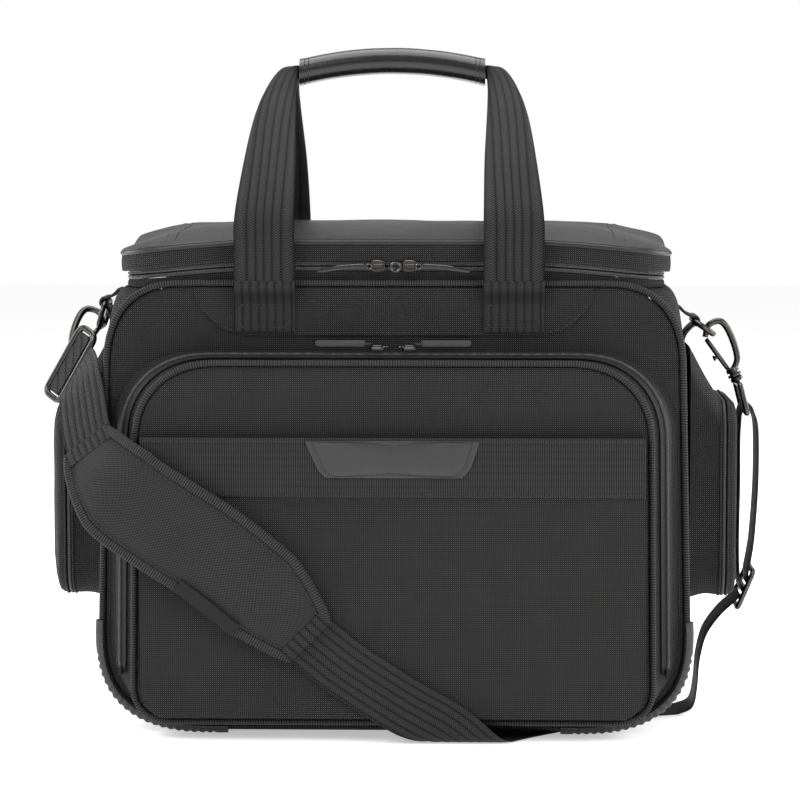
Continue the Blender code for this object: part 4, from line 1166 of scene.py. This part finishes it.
def lid_top():
    """Crowned coated-leather top with a seam near each end, soft dents and a slight sag between."""
    mid_y = (LID_Y[0] + LID_Y[1]) / 2.0
    stations = [-LID_HALF_X * math.cos(math.pi * k / 150.0) for k in range(1, 150)]
    rows = []
    across = 56
    seam_x = 148.0
    for x in stations:
        reach = max(abs(x) - (LID_HALF_X - LID_CORNER), 0.0)
        half = (LID_Y[1] - LID_Y[0]) / 2.0 - LID_CORNER + math.sqrt(max(LID_CORNER ** 2 - reach ** 2, 0.0))
        top, under = [], []
        for k in range(across + 1):
            y = mid_y - half * math.cos(math.pi * k / across)
            crown, held, dents = lid_shape(x, y)
            dents += wander((x, y * 0.6, 0.0), 17.0, 0.35, 9.0)
            near = abs(abs(x) - seam_x)
            groove = -0.9 * math.exp(-(near / 0.9) ** 2)
            groove += 0.5 * math.exp(-((abs(x) - seam_x - 2.6) / 1.6) ** 2)
            z = LID_SKIN_Z + 2.6 + crown + held * (min(dents, 0.6) + groove)
            top.append(Vector((x, y, z)))
            under.append(Vector((x, y, LID_SKIN_Z + crown * 0.96)))
        rows.append(top + list(reversed(under)))
    loft("lid_top_leather", rows, "lid", "lid", ("lid_top_panel",))
    lines = []
    for sign in (-1.0, 1.0):
        for offset in (-2.4, 4.4):
            x = sign * (seam_x + offset)
            path = []
            for k in range(40):
                y = -62.0 + 152.0 * k / 39.0
                crown, held, dents = lid_shape(x, y)
                path.append(Vector((x, y, LID_SKIN_Z + 2.62 + crown + held * min(dents, 0.6))))
            lines.append((path, UP))
    stitches("lid_top_stitching", lines, "lid", radius=0.3)


collar_and_lid()


# ---------------------------------------------------------------- front pockets

def cover_lift(p):
    """Fullness of the pocket's face: free above the slip pocket, flat behind it."""
    free = clamp((p.z - 203.0) / 22.0)
    near = clamp((247.0 - p.z) / 14.0) * clamp((165.0 - abs(p.x)) / 18.0)
    return free * near * (1.5 + wander(p, 60.0, 0.8, 4.0))


def front_pocket():
    base, face = outline(*POCKET_BASE), outline(*POCKET_FACE)
    counts = split_counts(base, 12.0)
    base, face = dense(base, counts), dense(face, counts)
    base_in, face_in = dense(outline(*POCKET_BASE, WALL), counts), dense(outline(*POCKET_FACE, WALL), counts)
    rings = []
    for i in range(len(base)):
        outer = []
        for k in range(9):
            share = k / 8.0
            p = base[i].lerp(face[i], share)
            away = Vector((p.x, p.y - 125.0)).normalized()
            push = math.sin(math.pi * share) * wander((p.x, share * 24.0, p.y), 30.0, 0.45, 11.0)
            p = p + away * push
            outer.append(Vector((p.x, POCKET_BACK_Y + (POCKET_FRONT_Y - POCKET_BACK_Y) * share, p.y)))
        rings.append(outer + [Vector((face_in[i].x, POCKET_FRONT_Y, face_in[i].y)),
                              Vector((base_in[i].x, POCKET_BACK_Y, base_in[i].y))])
    loft("front_pocket_gusset_cloth", rings, "nylon", nodes=("front_pocket_gusset",), loop=True)

    def cover_line(inset):
        return outline(*POCKET_FACE, PIPING_R + 0.35 + inset)

    plate("front_pocket_cover_cloth", cover_line, ((0.0, 1.2), (1.2, 0.35), (3.0, 0.0), (8.0, 0.1),
                                                   (14.0, 0.0), (18.0, 0.0)), -104.3, -102.3, "nylon",
          "front_pocket_cover", cover_lift)
    path = upright(face, -103.0)
    tube("front_pocket_piping_cord", even(path, 5.0, True), disc(2.1, 12), "piping",
         nodes=("front_pocket_piping",), closed=True)
    seam = [Vector((x, -104.35, z)) for x, z in outline(*POCKET_FACE, 6.4) if z > 203.0]
    stitches("front_pocket_stitching", [(seam, OUT)], radius=0.22)
    pocket_zip()
    slip_pocket()


def pocket_zip():
    """Coil on its tape along the pocket's gusset: up one side, over the top and down the other."""
    base, face = outline(*POCKET_BASE), outline(*POCKET_FACE)
    low_z = 45.0

    def rung(back, front):
        """Line across the gusset, from its sewn edge to the pocket's face."""
        return Vector((back[0], POCKET_BACK_Y, back[1])), Vector((front[0], POCKET_FRONT_Y, front[1]))

    lines = [rung(b, f) for b, f in zip(base, face) if b[1] > 60.0]
    lines = [rung((187.6, low_z), (170.6, low_z))] + lines + [rung((-187.6, low_z), (-170.6, low_z))]
    tape, middle = [], []
    for i, (back, front) in enumerate(lines):
        before = lines[max(i - 1, 0)][0]
        after = lines[min(i + 1, len(lines) - 1)][0]
        normal = (after - before).cross(front - back).normalized()
        spot = back.lerp(front, 0.5)
        if normal.dot(Vector((spot.x, 0.0, spot.z - 120.0))) < 0.0:
            normal = -normal
        a, b = back.lerp(front, 0.30), back.lerp(front, 0.72)
        tape.append([a + normal * 0.9, b + normal * 0.9, b + normal * 1.5, a.lerp(b, 0.62) + normal * 1.9,
                     a.lerp(b, 0.38) + normal * 1.9, a + normal * 1.5])
        middle.append(back.lerp(front, 0.51) + normal * 2.0)
    loft("front_pocket_zip_tape", tape, "tape", uv="run")
    path = even(middle, 0.42)

    def section(walked):
        turn = 0.5 + 0.5 * math.cos(2.0 * math.pi * walked / 1.6)
        return disc(1.0 + 0.5 * turn, 8)

    tube("front_pocket_zip_coil", path, section, "coil", nodes=("front_pocket_zipper",), sharp=50.0)
    tabs = []
    for sign in (1.0, -1.0):
        spot = Vector((sign * 179.6, -88.5, low_z - 0.5))
        corners = ((0.6, 6.0), (2.6, 6.0), (2.6, -6.0), (0.6, -6.0))
        tabs.append([[spot + Vector((sign * a, b, h)) for a, b in corners] for h in (-2.4, 2.4)])
    many("front_pocket_zip_ends", tabs, "tape", uv="box")


def slab_grid(name, x_at, heights, y_front, y_back, mat, nodes=(), columns=30, lift=None, uv="box", edge=0.5):
    """Flat cloth layer with rounded edges; x_at gives its half width at a height."""
    rows = []
    last = len(heights) - 1
    for n, z in enumerate(heights):
        low, high = x_at(z)
        front = []
        for k in range(columns + 1):
            share = k / columns
            x = low + (high - low) * (0.5 - 0.5 * math.cos(math.pi * share))
            rim = min(x - low, high - x, z - heights[0], heights[last] - z)
            soft = edge * (1.0 - min(rim / 1.2, 1.0))
            y = y_front + soft - (lift(Vector((x, 0.0, z))) if lift else 0.0)
            front.append(Vector((x, y, z)))
        rows.append(front + [Vector((p.x, y_back, z)) for p in reversed(front)])
    return loft(name, rows, mat, nodes=nodes, uv=uv)


def slip_pocket():
    def half(z):
        reach = 166.2 - 0.9 * max(z - 40.0, 0.0) / 160.0
        if z < 37.0:
            reach -= 22.0 - math.sqrt(max(22.0 ** 2 - (37.0 - z) ** 2, 0.0))
        return (-reach, reach)

    heights = [16.4, 17.0, 18.2, 21.0, 25.0, 30.0] + [30.0 + 172.0 * k / 26.0
                                                      for k in range(1, 26)] + [201.2, 202.0]

    def sag(p):
        middle = math.sin(math.pi * clamp((p.z - 16.0) / 144.0))
        side = clamp((155.0 - abs(p.x)) / 30.0)
        return 0.1 + middle * side * 0.35 + wander(p, 48.0, 0.25, 6.0) * middle

    slab_grid("slip_pocket_cloth", half, heights, -110.9, -108.9, "nylon", ("slip_pocket_panel",), 60, sag,
              edge=0.7)
    side_lip = ((0.0, -110.9), (0.0, -104.8), (1.8, -104.8), (1.8, -109.2))
    foot_lip = ((0.0, -110.0),) + side_lip[1:]
    rim = [[[Vector((sign * (half(z)[1] - a), y, z)) for a, y in side_lip] for z in heights[4:]]
           for sign in (1.0, -1.0)]
    line = upright(((-154.0, 16.8), (-60.0, 16.6), (60.0, 16.6), (154.0, 16.8)), 0.0)
    rim.append([[p + Vector((0.0, y, a)) for a, y in foot_lip] for p in line])
    many("slip_pocket_edges", rim, "nylon", uv="box")

    def ripple(p):
        return wander(p, 34.0, 0.16, 8.0)

    heights = [163.0, 163.5, 164.2] + [165.0 + 35.0 * k / 12.0 for k in range(13)] + [200.8, 201.5, 202.0]
    band = slab_grid("hem_band_webbing", lambda z: (-165.2, 165.2), heights, -112.7, -111.5, "hem",
                     ("hem_band",), 64, ripple)
    turn_uv(band)
    lines = [([Vector((x, -112.85, z)) for x in (-164.0, -60.0, 60.0, 164.0)], OUT) for z in (165.3, 199.7)]
    stitches("hem_band_stitching", lines, radius=0.22)
    patch()


def turn_uv(piece):
    """Lay the ribs of a horizontal band along its length."""
    for loop in piece.data.uv_layers[0].data:
        u, v = loop.uv
        loop.uv = (v, u)


def patch():
    """Leather patch at the middle of the hem with a turned edge and a stitched border."""
    shape = [(-56.8, 200.3), (-54.8, 194.4), (-48.2, 180.5), (-43.6, 175.9), (45.0, 175.9), (51.0, 181.9),
             (56.2, 197.7), (56.8, 200.3)]
    middle = Vector((0.0, 190.0))
    line = even([(x, z, 0.0) for x, z in shape], 3.0, True)

    def inward(step_x, step_z, y):
        """The outline moved towards the patch's middle."""
        ring = []
        for p in line:
            flat = Vector((p.x, p.y))
            toward = (middle - flat).normalized()
            ring.append(Vector((flat.x + toward.x * step_x, y, flat.y + toward.y * step_z)))
        return ring

    rows = []
    for inset, y in ((0.0, -113.0), (0.1, -113.7), (0.7, -114.1), (1.8, -114.2), (3.2, -113.7),
                     (4.4, -113.9), (5.6, -114.1)):
        rows.append(inward(inset * 1.4, inset, y))
    rows.append([Vector((middle.x + (p.x - middle.x) * 0.45, -114.1, middle.y + (p.z - middle.y) * 0.45))
                 for p in rows[-1]])
    loft("hem_leather_patch", rows, "patch", nodes=("leather_patch",))
    stitches("hem_patch_stitching", [(inward(4.4, 3.1, -113.75), OUT)], radius=0.28, step=2.9, length=2.1)


front_pocket()


# ---------------------------------------------------------------- side pockets

def side_line(inset=0.0, y_range=SIDE_Y, z_range=SIDE_Z, steps=8):
    y0, y1 = y_range[0] + inset, y_range[1] - inset
    z0, z1 = z_range[0] + inset, z_range[1] - inset
    size = (SIDE_CORNER - min(inset, 16.0),) * 2
    points = []
    for k, (y, z, dy, dz) in enumerate(((y1, z0, -1, 1), (y1, z1, -1, -1), (y0, z1, 1, -1), (y0, z0, 1, 1))):
        points += arc((y + dy * size[0], z + dz * size[1]), size, 2.0, (k - 1) * math.pi / 2.0, steps)
    return points


def side_pockets():
    counts = split_counts(side_line(), 8.0)
    for hand, sign in (("right", 1.0), ("left", -1.0)):
        outer, inner = dense(side_line(), counts), dense(side_line(WALL), counts)
        base = dense(side_line(0.0, SIDE_BASE_Y, SIDE_BASE_Z), counts)
        base_in = dense(side_line(WALL, SIDE_BASE_Y, SIDE_BASE_Z), counts)
        rings = []
        for root, face, b, c in zip(base, outer, inner, base_in):
            ring = []
            for k in range(7):
                x = SIDE_X[0] + (SIDE_X[1] - SIDE_X[0]) * k / 6.0
                middle = Vector((21.0, 156.0))
                a = root.lerp(face, k / 6.0)
                away = (a - middle).normalized()
                push = wander((x, a.x, a.y), 26.0, 1.0, 12.0 + sign) - 1.4 * math.sin(math.pi * k / 6.0)
                p = a + away * push * math.sin(math.pi * k / 6.0)
                ring.append(Vector((sign * x, p.x, p.y)))
            rings.append(ring + [Vector((sign * SIDE_X[1], b.x, b.y)), Vector((sign * SIDE_X[0], c.x, c.y))])
        loft("side_pocket_wall_cloth_" + hand, rings, "nylon", nodes=("side_pocket_wall_" + hand,), loop=True)
        rows = []
        for inset, x in ((4.0, 224.0), (0.4, 223.7), (0.0, 224.6), (0.2, 227.0), (1.6, 229.2), (5.0, 230.4),
                         (12.0, 231.2), (24.0, 231.7), (40.0, 231.9), (54.0, 232.0)):
            ring = []
            for p in dense(side_line(inset), counts):
                dent = wander((x, p.x, p.y), 38.0, 1.1, 20.0 + sign) if inset > 3.0 else 0.0
                full = 3.6 * min(inset / 24.0, 1.0) if hand == "left" else 0.0
                ring.append(Vector((sign * (x + full + min(dent, 0.0)), p.x, p.y)))
            rows.append(ring)
        loft("side_pocket_door_cloth_" + hand, rows, "nylon", nodes=("side_pocket_door_" + hand,))
        path = [Vector((sign * 221.8, p.x, p.y)) for p in divided(side_line(0.6), 4.0)]
        path = even(path, 0.5, True)

        def section(walked):
            turn = 0.5 + 0.5 * math.cos(2.0 * math.pi * walked / 1.35)
            return [(a * (1.35 + 0.25 * turn), b * (1.2 + 0.3 * turn)) for a, b in disc(1.0, 8)]

        tube("side_pocket_coil_" + hand, path, section, "coil", closed=True, hint=X, sharp=50.0)
        for x, name in ((219.4, "inner"), (224.6, "outer")):
            line = side_line(-0.2)
            path = [Vector((sign * x, p.x, p.y)) for p in divided(line, 6.0)]
            tube("side_pocket_binding_%s_%s" % (name, hand), path, disc(0.9, 8), "piping", closed=True,
                 hint=X)


side_pockets()


# ---------------------------------------------------------------- handles

# height, lean inward, share of the way to the grip, width, fold depth, fold angle
LEG_STAGES = ((303.05, 0.0, 0.0, 40.0, 0.2, 0.2), (324.0, 0.0, 0.0, 39.6, 0.5, 0.3),
              (345.0, 0.0, 0.02, 39.0, 1.0, 0.5), (380.0, 2.0, 0.30, 34.0, 2.4, 1.0),
              (411.0, 4.0, 0.62, 27.0, 4.4, 1.5), (431.0, 7.5, 0.86, 19.0, 6.0, 2.0),
              (443.0, 13.0, 0.99, 13.0, 6.0, 2.3), (445.5, 22.0, 1.0, 11.5, 5.6, 2.4))


WRAP_SEAM_R = 10.15


def grip_height(x):
    return GRIP_Z - 8.0 * (x / GRIP_HALF) ** 2


def leg_rows(sign, facing):
    """Webbing leg that rolls inward into a fold as it rises to the grip."""
    y_leg = FRONT_LEG_Y if facing > 0.0 else REAR_LEG_Y
    stages = smooth_path([(z, lean, reach) for z, lean, reach, _, _, _ in LEG_STAGES], 7)
    shapes = smooth_path([(width, depth, roll) for _, _, _, width, depth, roll in LEG_STAGES], 7)
    rows = []
    columns = 16
    for (z, lean, reach), (width, depth, roll) in zip(stages, shapes):
        y_out = (y_leg - facing * 1.0) * (1.0 - reach) + -facing * 6.9 * reach
        reach_x = math.sin(min(roll, math.pi / 2.0))
        outer, inner = [], []
        for k in range(columns + 1):
            t = -1.0 + 2.0 * k / columns
            lip = (math.cos(t * roll) - math.cos(roll)) / (1.0 - math.cos(roll))
            x = HANDLE_X + sign * (LEG_X - lean) + width / 2.0 * math.sin(t * roll) / reach_x
            y = y_out + facing * depth * (1.0 - lip)
            thin = 1.0 - 0.35 * abs(t) ** 8
            out = Vector((math.sin(t * roll) * 0.6, -facing, 0.0)).normalized()
            middle = Vector((x, y + facing * 1.0, z))
            outer.append(middle + out * 0.9 * thin)
            inner.append(middle - out * 0.9 * thin)
        rows.append(outer + list(reversed(inner)))
    return rows


def half_wrap(name, facing, body_name, node):
    """Half of the glossy wrap: a rounded shell with a lapped flap and thicker stitched ends."""
    steps = 14
    rows = []
    count = 64
    for k in range(count + 1):
        x = GRIP_HALF * (1.0 - 2.0 * k / count) * 0.985
        z = grip_height(x)
        end = min(abs(abs(x) - 63.0) / 5.0, 1.0)
        grow = 0.35 * (1.0 - end) + wander((x, facing * 9.0, 0.0), 16.0, 0.16)
        ring = []
        for radius, order in ((9.65, 1), (7.1, -1)):
            for n in range(steps + 1):
                angle = order * (-math.pi / 2.0 + math.pi * n / steps)
                size = radius + (grow if order == 1 else 0.0)
                if order == 1 and facing > 0.0 and -0.95 < angle < 0.30:
                    size += 0.45
                y = -facing * max(size * math.cos(angle), 0.0)
                flat = 0.93 if order == 1 else 1.0
                ring.append(Vector((HANDLE_X + x, y - facing * 0.3, z + flat * size * math.sin(angle))))
        rows.append(ring)
    loft(name, rows, "grip", body_name, (node,), sharp=30.0)
    lines = []
    for x in (59.5, 56.8):
        for sign in (1.0, -1.0):
            line = []
            for n in range(13):
                angle = -1.25 + 2.5 * n / 12.0
                y = -facing * (WRAP_SEAM_R * math.cos(angle) + 0.3)
                line.append(Vector((HANDLE_X + sign * x, y,
                                    grip_height(x) + 0.93 * WRAP_SEAM_R * math.sin(angle))))
            middle = Vector((HANDLE_X + sign * x, 0.0, grip_height(x)))
            lines.append((line, lambda p, m=middle: (p - m).normalized()))
    stitches(name + "_stitching", lines, body_name, radius=0.28, step=2.6, length=1.9)


def handles():
    for side, facing, y_panel, y_leg in (("front", 1.0, FRONT_Y, FRONT_LEG_Y),
                                         ("rear", -1.0, BACK_Y, REAR_LEG_Y)):
        body_name = side + "_handle_loop"
        parts = [leg_rows(1.0, facing), leg_rows(-1.0, facing)]
        core = []
        for k in range(17):
            x = GRIP_HALF * (1.0 - 2.0 * k / 16.0)
            core.append([Vector((HANDLE_X + x, -facing * 2.9 + a, grip_height(x) + b)) for a,
                         b in bar(4.2, 8.4, 1.0)])
        many(side + "_handle_webbing", parts + [core], "webbing", body_name, (side + "_handle",))
        half_wrap(side + "_grip_wrap", facing, body_name, side + "_grip_half")
        out = -facing
        flat = y_panel + out * 1.85
        line = smooth_path([(0.0, y, z) for y, z in ((flat, 269.2), (flat, 276.0), (flat, 286.0),
                                                     (flat + out * 2.2, 291.0), (y_leg - out * 1.2, 296.0),
                                                     (y_leg, 299.0), (y_leg, 302.95))], 4)
        for hand, sign in (("right", 1.0), ("left", -1.0)):
            rows = []
            for n, p in enumerate(line):
                across = [Vector((HANDLE_X + sign * LEG_X + x,
                                  p.y + wander((x, 0.0, p.z), 14.0, 0.15, sign), p.z))
                          for x in (-20.0, -19.2, -13.0, -6.5, 0.0, 6.5, 13.0, 19.2, 20.0)]
                rows.append(across)
            loft("handle_foot_%s_%s" % (side, hand), band_rows(rows, 2.0), "webbing",
                 nodes=("handle_anchor_%s_%s" % (side, hand),), uv="run")
            face = flat + out * 1.05
            x0, x1 = HANDLE_X + sign * LEG_X - 16.5, HANDLE_X + sign * LEG_X + 16.5
            square = [(x0, 272.0), (x1, 272.0), (x1, 287.0), (x0, 287.0)]
            seam = upright(square, face)
            stitches("handle_foot_stitching_%s_%s" % (side, hand), [(seam + [seam[0]], (0.0, out, 0.0))],
                     radius=0.24)


handles()


# ---------------------------------------------------------------- zip sliders and pulls

def chip(centre, half_a, half_b, thick, a_way, b_way, corner=1.0, edge=0.4, shape=None):
    """Rounded plate with softened edges: thick along the third direction."""
    a_way, b_way = Vector(a_way), Vector(b_way)
    out = a_way.cross(b_way)
    line = shape or plan(half_a, (-half_b, half_b), min(corner, half_a * 0.98, half_b * 0.98), 0.0, 4)
    rows = []
    for height, inset in ((-0.5, edge), (-0.5 + edge / thick, 0.0), (0.5 - edge / thick, 0.0), (0.5, edge)):
        ring = []
        for a, b in line:
            grow_a = a * max(1.0 - inset / max(half_a, 0.1), 0.05)
            grow_b = b * max(1.0 - inset / max(half_b, 0.1), 0.05)
            ring.append(Vector(centre) + a_way * grow_a + b_way * grow_b + out * height * thick)
        rows.append(ring)
    return rows


def torus(centre, radius, wire, a_way, b_way, stretch=1.0):
    a_way, b_way = Vector(a_way), Vector(b_way)
    path = [Vector(centre) + a_way * radius * stretch * math.cos(t) + b_way * radius * math.sin(t)
            for t in [2.0 * math.pi * k / 24.0 for k in range(24)]]
    rows = ring_rows(path, disc(wire, 8), True, a_way.cross(b_way))
    return rows + [rows[0]]


def pull_rows(sign, start_x, end_x, y, z, widths, thick, flat_way, sink=0.0):
    """Tapering pull that swells at its tip: widths are (share, half width) pairs."""
    rows = []
    for share, half in widths:
        x = sign * (start_x + (end_x - start_x) * share)
        centre = Vector((x, y, z - sink * share * share))
        side, out = (UP, OUT) if flat_way == "front" else TILTED
        t = thick / 2.0
        rows.append([centre + side * half * a + out * t * b for a,
                     b in ((-1.0, -0.5), (-0.85, -1.0), (0.85, -1.0), (1.0, -0.5), (1.0, 0.5), (0.8, 1.0),
                           (0.0, 1.12), (-0.8, 1.0), (-1.0, 0.5))])
    return rows


def sliders():
    for hand, sign in (("right", 1.0), ("left", -1.0)):
        x, y, z = sign * 10.5, -76.6, 312.2
        shape = [(-5.0, -2.2), (-3.6, -3.9), (0.0, -4.2), (4.2, -3.4), (5.0, -1.6), (5.0, 1.6), (4.2, 3.4),
                 (0.0, 4.2), (-3.6, 3.9), (-5.0, 2.2)]
        parts = [chip((x, y, z), 5.0, 4.2, 2.6, X, UP, shape=shape, edge=0.5)]
        parts.append(chip((x, y - 1.6, z), 3.6, 1.5, 1.0, X, UP, 0.8, 0.3))
        parts.append(torus((1.3 + 0.3 * sign, y - 2.1 + 0.5 * sign, z - 0.2), 3.0, 0.75, X, UP))
        many("main_slider_" + hand, parts, "nickel", "lid_slider_" + hand, ("lid_slider_" + hand,))
        widths = ((0.0, 1.0), (0.03, 1.6), (0.10, 1.8), (0.25, 1.7), (0.5, 1.7), (0.75, 1.6), (0.92, 1.3),
                  (0.98, 1.0), (1.0, 0.5))
        parts = [pull_rows(sign, 17.6, 50.0, -79.3, 312.2, widths, 1.6, "front", 3.2)]
        parts.append(torus((sign * 16.2, -79.3, 312.2), 1.7, 0.6, X, UP, 1.0))
        many("main_pull_" + hand, parts, "nickel", "lid_puller_" + hand, ("lid_puller_" + hand,))
        y, z = -88.4, 258.6
        parts = [chip((x, y, z), 5.0, 3.8, 2.4, X, DEPTH, shape=[(a, b * 0.9) for a, b in shape], edge=0.5)]
        parts.append(chip((x, y, z + 1.7), 3.4, 1.4, 1.2, X, DEPTH, 0.8, 0.3))
        parts.append(torus((sign * 5.2, y + 0.6 * sign, z + 1.2), 2.6, 0.7, X, DEPTH))
        many("pocket_slider_body_" + hand, parts, "nickel", "pocket_slider_" + hand,
             ("pocket_slider_" + hand,))
        widths = ((0.0, 2.0), (0.03, 2.6), (0.15, 2.7), (0.5, 2.6), (0.9, 2.7), (0.97, 2.5), (1.0, 1.9))
        parts = [pull_rows(sign, 18.5, 51.0, y, 261.8, widths, 2.0, "tilted")]
        parts.append(torus((sign * 16.9, y, 261.6), 2.0, 0.65, X, DEPTH, 1.3))
        many("pocket_pull_" + hand, parts, "pull", "pocket_puller_" + hand, ("pocket_puller_" + hand,))
        x, y, z = sign * 221.8, 80.4, 128.0
        parts = [chip((x, y, z), 4.0, 5.0, 2.4, X, UP, 1.5, 0.5)]
        parts.append(chip((x, y + 1.5, z), 1.1, 3.0, 1.0, X, UP, 0.6, 0.2))
        parts.append(chip((x, y + 1.4, z - 15.5), 2.2, 12.0, 1.3, X, UP, 1.4, 0.3))
        parts.append(torus((x, y + 1.3, z - 3.8), 1.9, 0.6, X, UP))
        many("side_slider_body_" + hand, parts, "nickel", "side_slider_" + hand, ("side_slider_" + hand,))


sliders()


# ---------------------------------------------------------------- rings on the body

def rings():
    wire_loop("d_ring_right_wire", 1.9, (209.6, MID_Y, 267.4), (0.0, 1.0, 0.0), (0.8, 0.0, -0.55), 19.0,
              16.0, 7.0, nodes=("d_ring_right",))
    wire_loop("d_ring_left_wire", 1.9, (-202.4, MID_Y, 275.4), (0.0, 1.0, 0.0), (-0.25, 0.0, -0.97), 19.0,
              18.0, 7.0, nodes=("d_ring_left",))
    for hand, sign, bar_x, bar_z in (("right", 1.0, 203.0, 271.9), ("left", -1.0, 200.15, 284.1)):
        route = [(194.6, bar_z - 20.0), (196.6, bar_z - 10.0)]
        route += [(bar_x + 3.3 * math.cos(t), bar_z + 3.3 * math.sin(t))
                  for t in (-1.8, -1.0, -0.3, 0.4, 1.1, 1.9)]
        route += [(bar_x - 5.6, bar_z + 5.2), (bar_x - 9.4, bar_z + 9.0)]
        rows = []
        for p in smooth_path([(sign * x, MID_Y, z) for x, z in route], 5):
            rows.append([p + DEPTH * a for a in (-15.0, -14.4, -7.5, 0.0, 7.5, 14.4, 15.0)])
        loft("ring_tab_leather_" + hand, band_rows(rows, 2.0), "tab", nodes=("ring_tab_" + hand,), uv="run")
        seam = [Vector((sign * 197.4, MID_Y + a, bar_z - 10.0)) for a in (-13.0, 13.0)]
        stitches("ring_tab_stitching_" + hand, [(seam, (sign, 0.0, 0.1))], radius=0.3)


rings()
